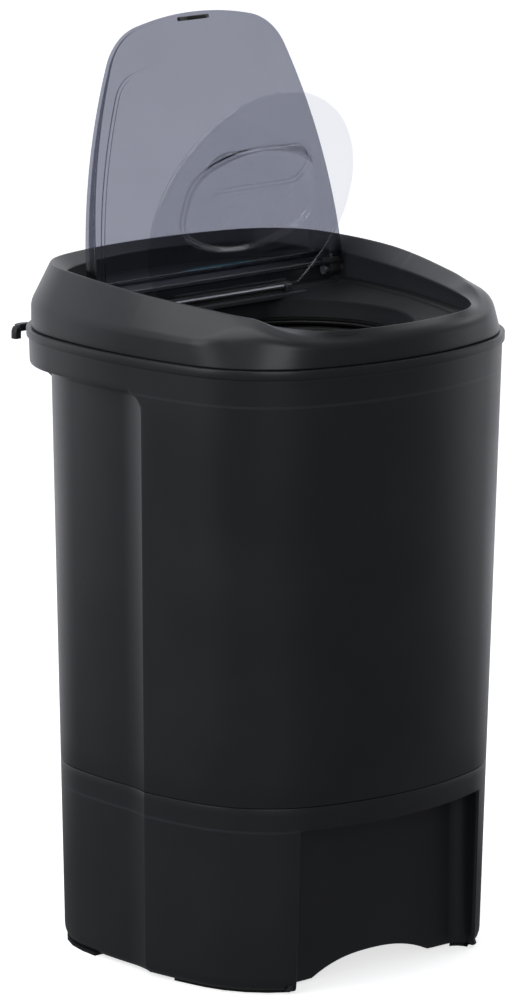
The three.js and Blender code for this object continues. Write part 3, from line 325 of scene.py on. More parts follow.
def plan(z, channel, bay=False, shrink=0.0):
    """Cabinet plan at height z, with the rear channel set in or not and the bay opened or not."""
    shape = body_shape(z)
    ahead, y_side = front_run(shape)
    if bay:
        ahead = np.concatenate([bay_run(shape, shrink), ahead[FRONT_STEPS:]])
    begin = CHANNEL["start"] + (COLLAR_Z - z) * CHANNEL["slope"]
    over = z - (COLLAR_Z - CHANNEL["corner"])
    edge = begin
    if 0 < over <= CHANNEL["corner"] + 1e-6:
        edge += CHANNEL["corner"] - math.sqrt(max(CHANNEL["corner"] ** 2 - over ** 2, 0))
    if over > CHANNEL["corner"]:
        edge = begin + CHANNEL["corner"]
    end = begin + CHANNEL["sweep"]
    before = np.linspace(y_side, edge, SIDE_STEPS, endpoint=False)
    along = edge + (end - edge) * SWEEP_AT
    if channel:
        t = np.clip((along - begin) / CHANNEL["sweep"], 0, 1)
        ramp = np.clip((along - edge) / 1.0, 0, 1)
        depth = CHANNEL["depth"] * (1 - (1 - t) ** 2) * ramp
        back = CHANNEL_BACK["y"] + (z - CHANNEL_BACK["z"]) * CHANNEL_BACK["slope"]
        rear = (shape[0] - CHANNEL["depth"], back, shape[2], shape[3] - CHANNEL["depth"],
                CHANNEL_BACK["corner"])
    else:
        depth, rear = 0.0, shape
    right = np.concatenate([
        ahead, np.column_stack([side_x(shape, before), before]),
        np.column_stack([side_x(shape, along) - depth, along]), rear_run(rear, end)])
    return mirrored(right)


HALF = len(plan(400, True)) // 2 + 1
CHANNEL_COLUMN = FRONT_STEPS + CORNER_STEPS + SIDE_STEPS


def columns(first, last=HALF):
    """1 on the right-half columns from first to last and their mirrors, 0 elsewhere."""
    right = np.zeros(HALF)
    right[first:last] = 1
    return np.concatenate([right, right[-2:0:-1]])


IN_CHANNEL = columns(CHANNEL_COLUMN + 1)
IN_BAY = columns(0, FRONT_STEPS - 1)


def ring(z, out=0.0, channel=True, bay=False, shrink=0.0):
    return at_height(moved_out(plan(z, channel, bay, shrink), out), z)


# ---- materials ----
def node(tree, kind, **inputs):
    made = tree.nodes.new(kind)
    for key, value in inputs.items():
        made.inputs[key.replace("_", " ")].default_value = value
    return made


def new_material(name):
    material = bpy.data.materials.new(name)
    material.use_nodes = True
    tree = material.node_tree
    return material, tree, tree.nodes["Principled BSDF"]


def noise(tree, scale, detail=3.0, rough=0.55):
    place = tree.nodes.new("ShaderNodeTexCoord")
    made = node(tree, "ShaderNodeTexNoise", Scale=scale, Detail=detail, Roughness=rough)
    tree.links.new(place.outputs["Object"], made.inputs["Vector"])
    return made


def ramp(tree, source, low, high, start=0.3, end=0.7):
    made = tree.nodes.new("ShaderNodeMapRange")
    made.inputs["From Min"].default_value = start
    made.inputs["From Max"].default_value = end
    made.inputs["To Min"].default_value = low
    made.inputs["To Max"].default_value = high
    tree.links.new(source, made.inputs["Value"])
    return made.outputs["Result"]


def two_tone(tree, source, dark, light):
    mix = tree.nodes.new("ShaderNodeMix")
    mix.data_type = "RGBA"
    mix.inputs["A"].default_value = (*dark, 1)
    mix.inputs["B"].default_value = (*light, 1)
    tree.links.new(source, mix.inputs["Factor"])
    return mix.outputs["Result"]


def moulded(name, dark, light, roughness=(0.36, 0.46), grain=0.06, grain_size=1500.0, specular=0.5):
    """Moulded plastic: spark-eroded grain, slow tone and sheen changes, rubbed edges."""
    material, tree, shader = new_material(name)
    slow = noise(tree, 9.0, 4.0)
    fine = noise(tree, 260.0, 3.0)
    edges = tree.nodes.new("ShaderNodeNewGeometry")
    rub = ramp(tree, edges.outputs["Pointiness"], 0.0, 1.0, 0.515, 0.56)
    worn = tree.nodes.new("ShaderNodeMix")
    worn.data_type = "RGBA"
    worn.inputs["B"].default_value = (*[min(1.0, c * 1.5) for c in light], 1)
    tree.links.new(rub, worn.inputs["Factor"])
    tree.links.new(two_tone(tree, ramp(tree, slow.outputs["Fac"], 0, 1), dark, light), worn.inputs["A"])
    tree.links.new(worn.outputs["Result"], shader.inputs["Base Color"])
    total = tree.nodes.new("ShaderNodeMath")
    total.operation = "ADD"
    tree.links.new(ramp(tree, slow.outputs["Fac"], *roughness), total.inputs[0])
    tree.links.new(ramp(tree, fine.outputs["Fac"], -0.02, 0.02), total.inputs[1])
    tree.links.new(total.outputs["Value"], shader.inputs["Roughness"])
    grit = noise(tree, grain_size, 2.0, 0.6)
    bump = node(tree, "ShaderNodeBump", Strength=grain, Distance=0.0002)
    tree.links.new(grit.outputs["Fac"], bump.inputs["Height"])
    tree.links.new(bump.outputs["Normal"], shader.inputs["Normal"])
    shader.inputs["Specular IOR Level"].default_value = specular
    return material


def metallic(name, dark, light, roughness=(0.28, 0.42), stretch=(1, 1, 14)):
    """Bare metal with drawn or turned streaks."""
    material, tree, shader = new_material(name)
    place = tree.nodes.new("ShaderNodeTexCoord")
    mapping = tree.nodes.new("ShaderNodeMapping")
    mapping.inputs["Scale"].default_value = stretch
    streak = node(tree, "ShaderNodeTexNoise", Scale=90.0, Detail=5.0, Roughness=0.6)
    tree.links.new(place.outputs["Object"], mapping.inputs["Vector"])
    tree.links.new(mapping.outputs["Vector"], streak.inputs["Vector"])
    tone = ramp(tree, streak.outputs["Fac"], 0, 1)
    tree.links.new(two_tone(tree, tone, dark, light), shader.inputs["Base Color"])
    tree.links.new(ramp(tree, streak.outputs["Fac"], *roughness), shader.inputs["Roughness"])
    shader.inputs["Metallic"].default_value = 1.0
    return material


def see_through(name, tint, streak, gloss=0.04):
    """Thin clear moulding: tinted straight-through light under a polished surface with faint flow marks."""
    material, tree, shader = new_material(name)
    tree.nodes.remove(shader)
    slow = noise(tree, 14.0, 3.0)
    pass_through = tree.nodes.new("ShaderNodeBsdfTransparent")
    tree.links.new(two_tone(tree, slow.outputs["Fac"], tint, streak), pass_through.inputs["Color"])
    ripple = node(tree, "ShaderNodeBump", Strength=0.05, Distance=0.0005)
    tree.links.new(slow.outputs["Fac"], ripple.inputs["Height"])
    polish = tree.nodes.new("ShaderNodeBsdfGlossy")
    polish.inputs["Color"].default_value = (0.9, 0.9, 0.92, 1)
    tree.links.new(ramp(tree, slow.outputs["Fac"], gloss, gloss + 0.05), polish.inputs["Roughness"])
    tree.links.new(ripple.outputs["Normal"], polish.inputs["Normal"])
    mix = node(tree, "ShaderNodeMixShader", Fac=0.045)
    tree.links.new(pass_through.outputs["BSDF"], mix.inputs[1])
    tree.links.new(polish.outputs["BSDF"], mix.inputs[2])
    tree.links.new(mix.outputs["Shader"], tree.nodes["Material Output"].inputs["Surface"])
    return material


CABINET = moulded("charcoal_moulding", (0.0175, 0.0183, 0.0215), (0.0215, 0.0225, 0.0262), (0.30, 0.38))
INNER = moulded("inner_moulding", (0.008, 0.008, 0.009), (0.011, 0.011, 0.012), (0.32, 0.44), 0.04)
# Cover ledge and funnel: a rougher, less glossy copy of the cabinet plastic, whose darker base colour is painted
# shade for the recess.
FUNNEL_SHADE_PAINTED = moulded("funnel_moulding_painted_shade", (0.0085, 0.009, 0.0105), (0.0105, 0.011, 0.0125), (0.50, 0.60), 0.03,
                1500.0, 0.12)
DRUM = moulded("drum_moulding", (0.004, 0.004, 0.0045), (0.006, 0.006, 0.0065), (0.4, 0.5), 0.05)
RUBBER = moulded("rubber", (0.006, 0.006, 0.006), (0.010, 0.010, 0.010), (0.65, 0.85), 0.2, 700.0, 0.3)
TEAL = moulded("teal_ink", (0.010, 0.16, 0.19), (0.014, 0.20, 0.23), (0.28, 0.38), 0.03)
GREY_INK = moulded("grey_ink", (0.035, 0.037, 0.04), (0.045, 0.047, 0.05), (0.3, 0.4), 0.03)
WHITE = moulded("white_moulding", (0.60, 0.60, 0.58), (0.68, 0.68, 0.66), (0.35, 0.5), 0.04)
STEEL = metallic("zinc_steel", (0.46, 0.47, 0.48), (0.60, 0.61, 0.62))
CAST = metallic("cast_metal", (0.34, 0.35, 0.36), (0.46, 0.47, 0.48), (0.45, 0.6), (3, 3, 3))
ENAMEL = moulded("motor_enamel", (0.05, 0.052, 0.056), (0.06, 0.062, 0.066), (0.3, 0.42), 0.08, 500.0)
CORE = metallic("motor_core", (0.16, 0.12, 0.08), (0.26, 0.2, 0.14), (0.4, 0.6), (2, 2, 60))
SMOKED = see_through("smoked_clear", (0.505, 0.513, 0.562), (0.525, 0.533, 0.582), 0.03)
CLEAR = see_through("clear", (0.915, 0.918, 0.930), (0.930, 0.933, 0.945), 0.02)

SLOT_MATERIAL = {
    "cabinet_plastic": CABINET, "inner_plastic": INNER, "drum_plastic": DRUM, "smoked_lid": SMOKED,
    "clear_lid": CLEAR, "accent": TEAL, "rubber": RUBBER, "steel": STEEL, "cast_metal": CAST,
    "motor_paint": ENAMEL, "motor_core": CORE, "white_plastic": WHITE,
}
for entry in frame["record"]["subparts"]:
    cad = frame["nodes"][entry["node"]]
    cad.data.materials.clear()
    cad.data.materials.append(SLOT_MATERIAL[entry["material_slot"]])
    cad.data.shade_smooth()
    cad.data.set_sharp_from_angle(angle=math.radians(35))


# ---- cabinet ----
def cabinet():
    top = SEAM_Z - 0.15
    inside = -WALL
    upper = [(top, 0.3), (top, 1.4), (top - 0.35, 2.1), (top - 0.95, LIP_PROUD), (LIP_BOTTOM + 1, LIP_PROUD),
             (LIP_BOTTOM + 0.35, 2.1), (LIP_BOTTOM, 1.5), (LIP_BOTTOM - 0.15, 0.3), (LIP_BOTTOM - 0.5, 0.0),
             (612.0, 0.0), (604.0, 0.0), (597.0, 0.0), (593.4, 0.0)]
    rings = [ring(z, out, channel=False) for z, out in upper]
    rings += [ring(z, -fall * IN_CHANNEL, channel=False) for z,
              fall in ((592.4, 0.15), (591.5, 0.6), (591.0, 1.5))]
    rings += [ring(z, out * IN_CHANNEL) for z, out in ((COLLAR_Z, 2.6), (590.3, 0.9), (588.6, 0.0))]
    heights = [586.5, 583, 579, 575, 571, 565, 552, 535, 510, 470, 420, 360, 300, 250, 215, BASE_SEAM_Z + 1.3]
    rings += [ring(z) for z in heights]
    rings += [ring(BASE_SEAM_Z + 0.55, -0.2), ring(BASE_SEAM_Z + 0.15, -0.8)]
    rings += [ring(BASE_SEAM_Z + 0.15, inside), ring(400, inside), ring(587, inside)]
    rings += [ring(594.5, inside, channel=False), ring(top, inside, channel=False)]
    piece = make("cabinet_skin", *skin([r[::-1] for r in rings], wrap=True), CABINET)
    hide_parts("body_shell")


def collar_webs():
    """Curved webs that carry the collar over the set-in rear corners."""
    profile = softened([(-12, 530), (-5, 543), (-2, 560), (6, 576), (22, 588), (22, 592), (-12, 592)], 9, 5)
    half = 3.0
    for name, side in (("left", -1), ("right", 1)):
        out = np.array([side, 1.0]) / math.sqrt(2)
        along = np.array([-out[1], out[0]])
        rings = []
        for k, grow in ((-half, 0.8), (-half + 0.8, 0), (half - 0.8, 0), (half, 0.8)):
            loop = [np.append(np.array([side * 147, 142]) + out * (o - grow) + along * k, z) for o,
                    z in profile]
            rings.append(loop)
        piece = make(f"collar_web_{name}", *skin(rings, caps=(True, True)), CABINET)


# ---- base ----
def arch_z(x):
    return ARCH["crown"] - (ARCH["crown"] - SKIRT_Z) * np.clip(np.abs(x) / ARCH["half"], 0, 1) ** 2.4


def base():
    top = BASE_SEAM_Z - 0.15
    ceiling = 166.0
    rings = [ring(top, -0.8), ring(top - 0.4, -0.2), ring(top - 1.1)]
    rings += [ring(z) for z in (182, 174, ceiling + 2)]
    rings += [ring(ceiling + rise, -fall * IN_BAY) for rise, fall in ((1.1, 0.12), (0.4, 0.55), (0, 1.3))]
    shrunk = [(ceiling, 5.0), (ceiling - 0.9, 2.2), (ceiling - 2.6, 0.6), (ceiling - 5, 0.0)]
    rings += [ring(z, bay=True, shrink=s) for z, s in shrunk]
    outline = plan(16, True, True)
    back_wall = (np.abs(outline[:, 1] - BAY["back"]) < 0.5) & (IN_BAY > 0)
    low = np.where(back_wall, arch_z(outline[:, 0]) + 2.5, 16.0)
    in_bay = columns(0, FRONT_STEPS - 3) > 0
    low = np.where(in_bay & ~back_wall, SKIRT_Z + 4.0, low)
    drop = np.where(back_wall, 2.5, np.where(in_bay, 4.0, 13.0))
    pull = np.where(back_wall, 2.0, np.where(in_bay, 2.0, 8.5))
    for t in (0.12, 0.3, 0.5, 0.7, 0.85, 0.95, 1.0):
        z = lerp(ceiling - 5, low, t)
        place = plan(lerp(ceiling - 5, 16, t), True, True)
        rings.append(np.column_stack([place, z]))
    for angle in np.radians([18, 36, 54, 72, 90]):
        place = moved_out(plan(16, True, True), -pull * (1 - math.cos(angle)))
        rings.append(np.column_stack([place, low - drop * math.sin(angle)]))
    inside = -WALL
    rings.append(np.column_stack([moved_out(plan(16, True, True), -pull - WALL), low - drop]))
    rings.append(np.column_stack([moved_out(plan(16, True, True), inside - 0.4 * pull), low - 0.4 * drop]))
    rings.append(np.column_stack([moved_out(plan(16, True, True), inside), low + 1]))
    rings.append(ring(ceiling + WALL, inside, bay=True))
    rings += [ring(ceiling + WALL + 0.5, inside), ring(top, inside)]
    piece = make("base_skin", *skin([r[::-1] for r in rings], wrap=True), CABINET)
    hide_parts("base_shell")


# ---- top cover ----
def crest_z(y):
    rise = np.where(y < 0, 0.09 * y, 0.085 * y - 0.00032 * y * y)
    return 687.5 + rise - 14 * smoothstep(-y, 160, 212)


def crest_inset(y):
    return 23 + 13 * smoothstep(-y, -20, 130) - 31 * smoothstep(-y, 150, 228)


def brow_z(y):
    """The rim's inner edge lies in one gently tilted plane."""
    return 671.5 + 0.05 * y


def lid_outline(shape, inset, hinge_y, rear_y, steps=(24, 16, 30)):
    """Front, corner and side arcs cut off square at rear_y."""
    front, side, corner, a1, a2 = corner_facts(shape)
    _, _, rf, rs, rc = shape
    end = math.asin((rear_y - hinge_y) / (rs - inset))
    right = np.concatenate([
        arc(front, rf - inset, -math.pi / 2, a1, steps[0]), arc(corner, rc - inset, a1, a2, steps[1]),
        arc(side, rs - inset, a2, end, steps[2])]) + (0, hinge_y)
    rear = np.linspace(side[0] + (rs - inset) * math.cos(end), 0, 24)
    return mirrored(np.concatenate([right, np.column_stack([rear, np.full(24, rear_y)])]))


def pocket_outline():
    """Edge of the hollow in the cover: lid opening, gutter ends and rear deck."""
    opening = quarter(LID, -3.0, (24, 16, 30)) + (0, LID_HINGE[0])
    opening = opening[opening[:, 1] < GUTTER[1] - 14]
    deck = quarter(BODY, 37.0, (20, 24, 30))[::-1] * (1, -1)
    deck = deck[deck[:, 1] > GUTTER[1] + 3]
    join = softened([opening[-1], (169.0, GUTTER[1] - 8), (169.0, GUTTER[1]), deck[0]], 6, 5)[1:-1]
    return mirrored(np.concatenate([opening, join, deck]))


def wall_distance(outline, inward, pocket):
    """How far each outline point lies from the pocket's edge, along its inward normal."""
    a, b = pocket, np.roll(pocket, -1, 0)
    found = np.zeros(len(outline))
    for i, (p, n) in enumerate(zip(outline, inward)):
        e = b - a
        det = n[0] * -e[:, 1] + n[1] * e[:, 0]
        det = np.where(np.abs(det) < 1e-9, 1e-9, det)
        d = a - p
        t = (d[:, 0] * -e[:, 1] + d[:, 1] * e[:, 0]) / det
        u = (n[0] * d[:, 1] - n[1] * d[:, 0]) / det
        hits = t[(u >= -1e-6) & (u <= 1 + 1e-6) & (t > 0)]
        found[i] = hits.min() if len(hits) else 40.0
    return found


def rounded_columns(stations, radii, steps=5):
    """Stations are (inset, height) arrays per column; each inner one is rounded by its radius."""
    out = [stations[0]]
    for k in range(1, len(stations) - 1):
        a, b, c = (np.stack(s, 1) for s in (stations[k - 1], stations[k], stations[k + 1]))
        u, v = a - b, c - b
        lu, lv = np.linalg.norm(u, axis=1), np.linalg.norm(v, axis=1)
        d = np.minimum(radii[k], np.minimum(lu, lv) * 0.45)[:, None]
        p, q = b + u / lu[:, None] * d, b + v / lv[:, None] * d
        for t in np.linspace(0, 1, steps):
            r = (1 - t) ** 2 * p + 2 * t * (1 - t) * b + t * t * q
            out.append((r[:, 0], r[:, 1]))
    return out + [stations[-1]]


def cover():
    seam = plan(SEAM_Z, False)
    inward = -normals(seam)
    y = seam[:, 1]
    nose = smoothstep(-y, 105, 165)
    crest, inset = crest_z(y), crest_inset(y)
    crease_z = lerp(652.0, lerp(SEAM_Z, crest, 0.76), nose)
    crease_in = np.maximum(2.8, lerp(2.8, 0.35 * inset, nose))
    wall = np.maximum(wall_distance(seam, inward, pocket_outline()), inset + 1.0)
    kernel = np.array([1, 2, 3, 2, 1]) / 9
    wall = sum(w * np.roll(wall, k - 2) for k, w in enumerate(kernel))
    brow = brow_z(seam[:, 1] + inward[:, 1] * wall)
    flat = np.ones(len(seam))
    stations = [
        (3.6 * flat, (SEAM_Z + 0.15) * flat), (2.9 * flat, (SEAM_Z + 0.7) * flat),
        (2.8 * flat, (SEAM_Z + 1.6) * flat),
        (crease_in, crease_z), (inset, crest), (wall, brow), (wall, FLOOR_BOTTOM * flat)]
    radii = [0, 0.3, 0.3, lerp(5.0, 16.0, nose), 3.2, 1.8, 0]
    outer = rounded_columns(stations, radii, 7)
    back = [(wall - 3.0, FLOOR_BOTTOM * flat), (wall - 3.0, brow - 5),
            (np.minimum(inset + 2, wall - 3.2), np.minimum(crest, brow) - 6),
            (crease_in + 3.2, np.minimum(crease_z, brow) - 7), (6.2 * flat, (SEAM_Z + 1) * flat),
            (6.2 * flat, (SEAM_Z + 0.15) * flat)]
    rings = [np.column_stack([seam + inward * i[:, None], z]) for i, z in outer + back]
    piece = make("cover_rim", *skin([r[::-1] for r in rings], wrap=True), CABINET, sharp=50)
    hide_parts("top_cover")


def cover_floor():
    """Ledge, funnel and throat; the ledge runs a little into the rim's wall."""
    count = 240
    angle = np.linspace(-math.pi / 2, 1.5 * math.pi, count, endpoint=False)
    axis = np.array([0, DRUM_Y])
    unit = np.column_stack([np.cos(angle), np.sin(angle)])

    def star(outline):
        return wall_distance(np.tile(axis, (count, 1)), unit, np.asarray(outline))

    seat = star(lid_outline(LID, -4.5, LID_HINGE[0], GUTTER[0]))
    ledge = star(lid_outline(LID, 11.0, LID_HINGE[0], GUTTER[0] - 3))
    chord = np.where(unit[:, 1] > 0.05, (THROAT["chord"] - DRUM_Y) / np.maximum(unit[:, 1], 0.05), 1e9)
    mouth = np.minimum(THROAT["mouth"], chord)
    neck = np.minimum(THROAT["neck"], chord - 1.5)
    flat = np.ones(count)
    stations = [(seat, 646.5 * flat), (seat, LEDGE_Z * flat), (ledge, LEDGE_Z * flat),
                (ledge - 2.5, (LEDGE_Z - 2.8) * flat),
                (np.minimum(mouth + 1.0, ledge - 1), THROAT["mouth_z"] * flat),
                (neck, THROAT["neck_z"] * flat)]
    top = rounded_columns(stations, [0, 0.2, 1.5, 1.5, 3.0, 0], 6)
    under = [(neck + 2.6, THROAT["neck_z"] * flat), (np.minimum(mouth + 4, ledge + 1), 637.5 * flat),
             (ledge + 1.5, 643.5 * flat)]
    rings = [np.column_stack([axis + unit * r[:, None], z]) for r, z in top + under]
    # The ledge and funnel material's darker colour is painted shade for the recess.
    piece = make("cover_floor", *skin([r[::-1] for r in rings], wrap=True), FUNNEL_SHADE_PAINTED, sharp=50)
    cut_box(piece, *LATCH_SLOT)


def cover_rear():
    """Gutter for the hinges and the deck behind it."""
    half = LID[0] + 4.5
    gutter = slab([(-half, GUTTER[0] - 1), (half, GUTTER[0] - 1), (half, GUTTER[1] + 1),
                   (-half, GUTTER[1] + 1)], FLOOR_BOTTOM, GUTTER[2], 0.1)
    deck = quarter(BODY, 34.0, (20, 24, 30))[::-1] * (1, -1)
    deck = deck[deck[:, 1] > GUTTER[1] + 2]
    right = np.concatenate([softened([(0, GUTTER[1]), (deck[0][0] + 4, GUTTER[1]), deck[0]], 1.5, 4),
                            deck[1:]])
    plate = slab(mirrored(right), 644.0, DECK_Z, 1.6)
    bar = slab([(-100, 44.5), (100, 44.5), (100, 60), (-100, 60)], 642.5, 646.4, 0.6)
    lugs = []
    for side in (-1, 1):
        loop = softened([(50.2, 644), (50.2, 655), (57.4, 655), (57.4, 644)], 3.4, 6)
        xs = (side * 80 - 3.9, side * 80 - 3.3, side * 80 + 3.3, side * 80 + 3.9)
        shrink = (0.5, 0, 0, 0.5)
        middle = np.array([53.8, 648])
        lugs.append(skin([[(x, *(middle + (np.array(p) - middle) * (1 - s / 6))) for p in loop]
                          for x, s in zip(xs, shrink)], caps=(True, True)))
    piece = make("cover_deck", *merged(gutter, plate, bar, *lugs), CABINET)


def deck_marks():
    """Plain printed bars on the deck."""
    def bar(x0, x1, y0, y1, z=DECK_Z):
        radius = (y1 - y0) / 2 - 0.01
        loop = [(x, y + (y0 + y1) / 2) for x, y in rounded_section((x1 - x0) / 2, (y1 - y0) / 2, radius, 6)]
        loop = [(x + (x0 + x1) / 2, y) for x, y in loop]
        return slab(loop, z - 0.2, z + 0.35, 0.15)
    accent = make("deck_accent_bar", *bar(20, 112, 128, 146), TEAL)
    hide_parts("deck_accent")
    small = make("deck_mark_teal", *bar(-132, -92, 98, 104), TEAL)
    grey = make("deck_mark_grey", *bar(-132, -68, 112, 118), GREY_INK)


# ---- lids ----
def opened(hinge, angle):
    """From a lid drawn closed about its hinge axis to its resting place."""
    return Matrix.Translation((0, hinge[0], hinge[1])) @ Matrix.Rotation(-angle, 4, "X")


def lid_top(y):
    return lerp(9.3, -2.2, -y / LID[1])


def outer_lid():
    rear = -5.0
    skin_t = 2.5
    steps = (26, 20, 26)
    field = (LID[0], LID[1] - 20, LID[2], LID[3], LID[4])

    def rim(inset, drop):
        loop = lid_outline(LID, inset, 0, rear - max(inset, 0), steps)
        return np.column_stack([loop, lid_top(loop[:, 1]) - drop])

    def edge(inset, z):
        return at_height(lid_outline(LID, inset, 0, rear - max(inset, 0), steps), z)

    def plateau(inset, rise):
        loop = lid_outline(field, 24 + inset, 0, -16 - inset, steps)
        return np.column_stack([loop, lid_top(loop[:, 1]) + rise])

    outer = [edge(1.0, -8.4), edge(0.2, -8.2), edge(0.0, -7.6), rim(0, 3.2), rim(0.25, 1.8), rim(0.9, 0.8),
             rim(2.0, 0.15),
             rim(3.4, 0.0), rim(14, 0.0), plateau(-2.2, 0.0), plateau(-0.8, 0.25), plateau(-0.15, 0.9),
             plateau(0.0, 1.7),
             plateau(0.1, 2.8), plateau(0.6, 3.5), plateau(1.6, 3.9), plateau(3.2, 4.0), plateau(10, 4.0),
             plateau(30, 4.0)]
    inner = [plateau(30, 1.5), plateau(10, 1.5), plateau(4.6, 1.5), plateau(3.4, 1.2), plateau(2.7, 0.5),
             plateau(2.5, -0.4),
             plateau(2.0, -1.6), plateau(0.6, -2.3), plateau(-1.6, -2.5), rim(14, 2.5), rim(5.0, 2.5),
             rim(3.4, 2.9),
             rim(2.7, 3.9), rim(2.5, 5.2), edge(2.5, -7.6), edge(2.3, -8.2), edge(1.6, -8.4)]
    points, faces = skin(outer + inner, wrap=True)
    count = len(outer[0])
    start_out, start_in = (len(outer) - 1) * count, len(outer) * count
    bridge = set(range(start_out, start_in)) | set(range(start_in, start_in + count))
    faces = [f for f in faces if not (set(f) <= bridge)]
    faces.append(tuple(range(start_out, start_in)))
    faces.append(tuple(range(start_in, start_in + count))[::-1])
    piece = make("smoked_lid", points, faces, SMOKED, "outer_lid", 50, opened(LID_HINGE, LID_OPEN))
    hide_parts("outer_lid")
    ears = []
    for side in (-1, 1):
        loop = [(7 * math.cos(a), 7 * math.sin(a)) for a in np.linspace(math.pi * 0.5, -math.pi * 0.5, 14)]
        loop += [(-11.5, -7), (-11.5, 6.2)]
        xs = (side * 156.5 - 6.5, side * 156.5 - 5.9, side * 156.5 + 5.9, side * 156.5 + 6.5)
        ears.append(skin([[(x, p * k, q * k) for p, q in loop] for x, k in zip(xs, (0.93, 1, 1, 0.93))],
                         caps=(True, True)))
    piece = make("lid_ears", *merged(*ears), INNER, "outer_lid", 40, opened(LID_HINGE, LID_OPEN))


def lid_latch():
    """Wedge-ended tongue under the lid's free end."""
    y0, y1 = -202 - LID_HINGE[0], -198 - LID_HINGE[0]
    top = lid_top(y0) - 2.9
    loop = softened([(-20, top), (-20, top - 3), (-12, -12.9), (12, -12.9), (20, top - 3), (20, top)], 1.5, 4)
    rings = []
    for y, k in ((y0, 0.96), (y0 + 0.4, 1), (y1 - 0.4, 1), (y1, 0.96)):
        rings.append([(x * k, y, top + (z - top) * k) for x, z in loop])
    piece = make("lid_latch_tongue", *skin(rings, caps=(True, True)), INNER, "outer_lid", 40,
                 opened(LID_HINGE, LID_OPEN))
    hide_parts("lid_striker")


def inner_lid():
    count = 160
    angle = np.linspace(-math.pi / 2, 1.5 * math.pi, count, endpoint=False)
    unit = np.column_stack([np.cos(angle), np.sin(angle)])

    def star(outline, centre):
        return np.array(centre) + unit * wall_distance(np.tile(centre, (count, 1)), unit,
                                                       np.asarray(outline))[:, None]

    def disc(inset, z):
        radius = 131.0 - inset
        chord = -3.0 - inset
        rise = math.asin((chord + 97) / radius)
        a = np.linspace(math.pi - rise, 2 * math.pi + rise, 140)
        loop = np.column_stack([radius * np.cos(a), radius * np.sin(a) - 97])
        return at_height(star(loop, (0, -105)), z)

    def field(inset, z):
        quarter_loop = quarter((90, 58, 150, 200, 34), inset, (14, 14, 14))
        loop = mirrored(np.concatenate([quarter_loop, quarter_loop[-2::-1] * (1, -1)])) + (0, -108)
        return at_height(star(loop, (0, -108)), z)

    def grip(inset, z):
        radius = 19.0 - inset
        loop = np.array(rounded_section(66 - inset, radius, radius - 0.01, 14)) + (0, -141)
        return at_height(star(loop, (0, -141)), z)

    outer = [disc(1.6, -4.5), disc(0.6, -4.3), disc(0, -3.6), disc(0, -1.0), disc(0.35, -0.3), disc(1.1, 0),
             disc(8, 0),
             field(-2.5, 0), field(-0.9, 0.3), field(-0.1, 1.3), field(0.6, 5.4), field(1.2, 6.4),
             field(2.4, 6.9), field(4, 7.0)]
    outer += [grip(-1.5, 7.0), grip(-0.5, 6.8), grip(0, 6.2), grip(0.5, 4.0), grip(1.4, 3.2), grip(3, 3.0),
              grip(10, 3.0)]
    inner = [grip(10, 0.2), grip(1, 0.2), grip(-1.5, 0.4), grip(-2.7, 1.4), grip(-2.9, 2.8), grip(-3.4, 3.7),
             grip(-4.6, 4.0)]
    inner += [field(7, 4.0), field(4.6, 3.8), field(3.7, 2.9), field(3.0, -1.6), field(2.2, -2.7),
              field(0.4, -3.0),
              disc(9, -3.0), disc(5.2, -3.0), disc(4.1, -3.4), disc(3.9, -4.0), disc(3.2, -4.5)]
    points, faces = skin(outer + inner, wrap=True)
    start_out, start_in = (len(outer) - 1) * count, len(outer) * count
    bridge = set(range(start_out, start_in + count))
    faces = [f for f in faces if not (set(f) <= bridge)]
    faces.append(tuple(range(start_out, start_in)))
    faces.append(tuple(range(start_in, start_in + count))[::-1])
    turn = opened(DISC_HINGE, DISC_OPEN)
    piece = make("clear_lid", points, faces, CLEAR, "inner_lid", 50, turn)
    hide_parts("inner_lid")
    loop = [(3.6 * math.cos(a), 3.6 * math.sin(a)) for a in np.linspace(math.pi * 0.5, -math.pi * 0.78, 22)]
    loop += [(-9.5, -2.9), (-9.5, 0.0), (-3.0, 0.2)]
    xs = ((-74.8, 0.9), (-74.2, 1), (74.2, 1), (74.8, 0.9))
    knuckle = skin([[(x, p * k, q * k) for p, q in loop] for x, k in xs], caps=(True, True))
    piece = make("clear_lid_barrel", *knuckle, CLEAR, "inner_lid", 40, turn)


# ---- cord hooks, gland, drum, spout ----
def hooks():
    section = rounded_section(4, 4, 1.6)
    for name, side in (("left", -1), ("right", 1)):
        bend = softened([(side * 108, 216, 610), (side * 108, 235.9, 610), (side * 124, 235.9, 610),
                         (side * 124, 235.9, 599)], 7, 7)
        plate = slab([(side * 108 - 11.5, 208), (side * 108 + 11.5, 208), (side * 108 + 11.5, 219.6),
                      (side * 108 - 11.5, 219.6)],
                     598.5, 615.5, 0.8)
        plate = (np.array([_lean(p) for p in plate[0]]), plate[1])
        piece = make(f"cord_hook_{name}_moulding", *merged(sweep(bend, section), plate), CABINET)
        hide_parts(f"cord_hook_{name}")


def _lean(p):
    """Follows the cabinet's back with the hook's foot plate."""
    bow = 361.0 - math.sqrt(361.0 ** 2 - p[0] ** 2)
    return (p[0], p[1] - bow + 17.6, p[2])


def gland():
    profile = [(4.2, -7.5), (8.6, -7.5), (8.8, 0), (12.4, 0.2), (12.8, 0.8), (12.8, 2.6), (12.0, 3.6),
               (9, 4.2), (8, 9), (6.6, 9.6), (4.2, 9.6)]
    points, faces = lathe([(r, z) for r, z in profile], 48, 0, 0)
    points = np.column_stack([points[:, 0] + 80, points[:, 2] + 180.4, -points[:, 1] + 60])
    points[:, 1] = np.clip(points[:, 1], 177.2, 190.9)
    piece = make("gland_moulding", points, faces, RUBBER)
    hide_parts("cord_gland")


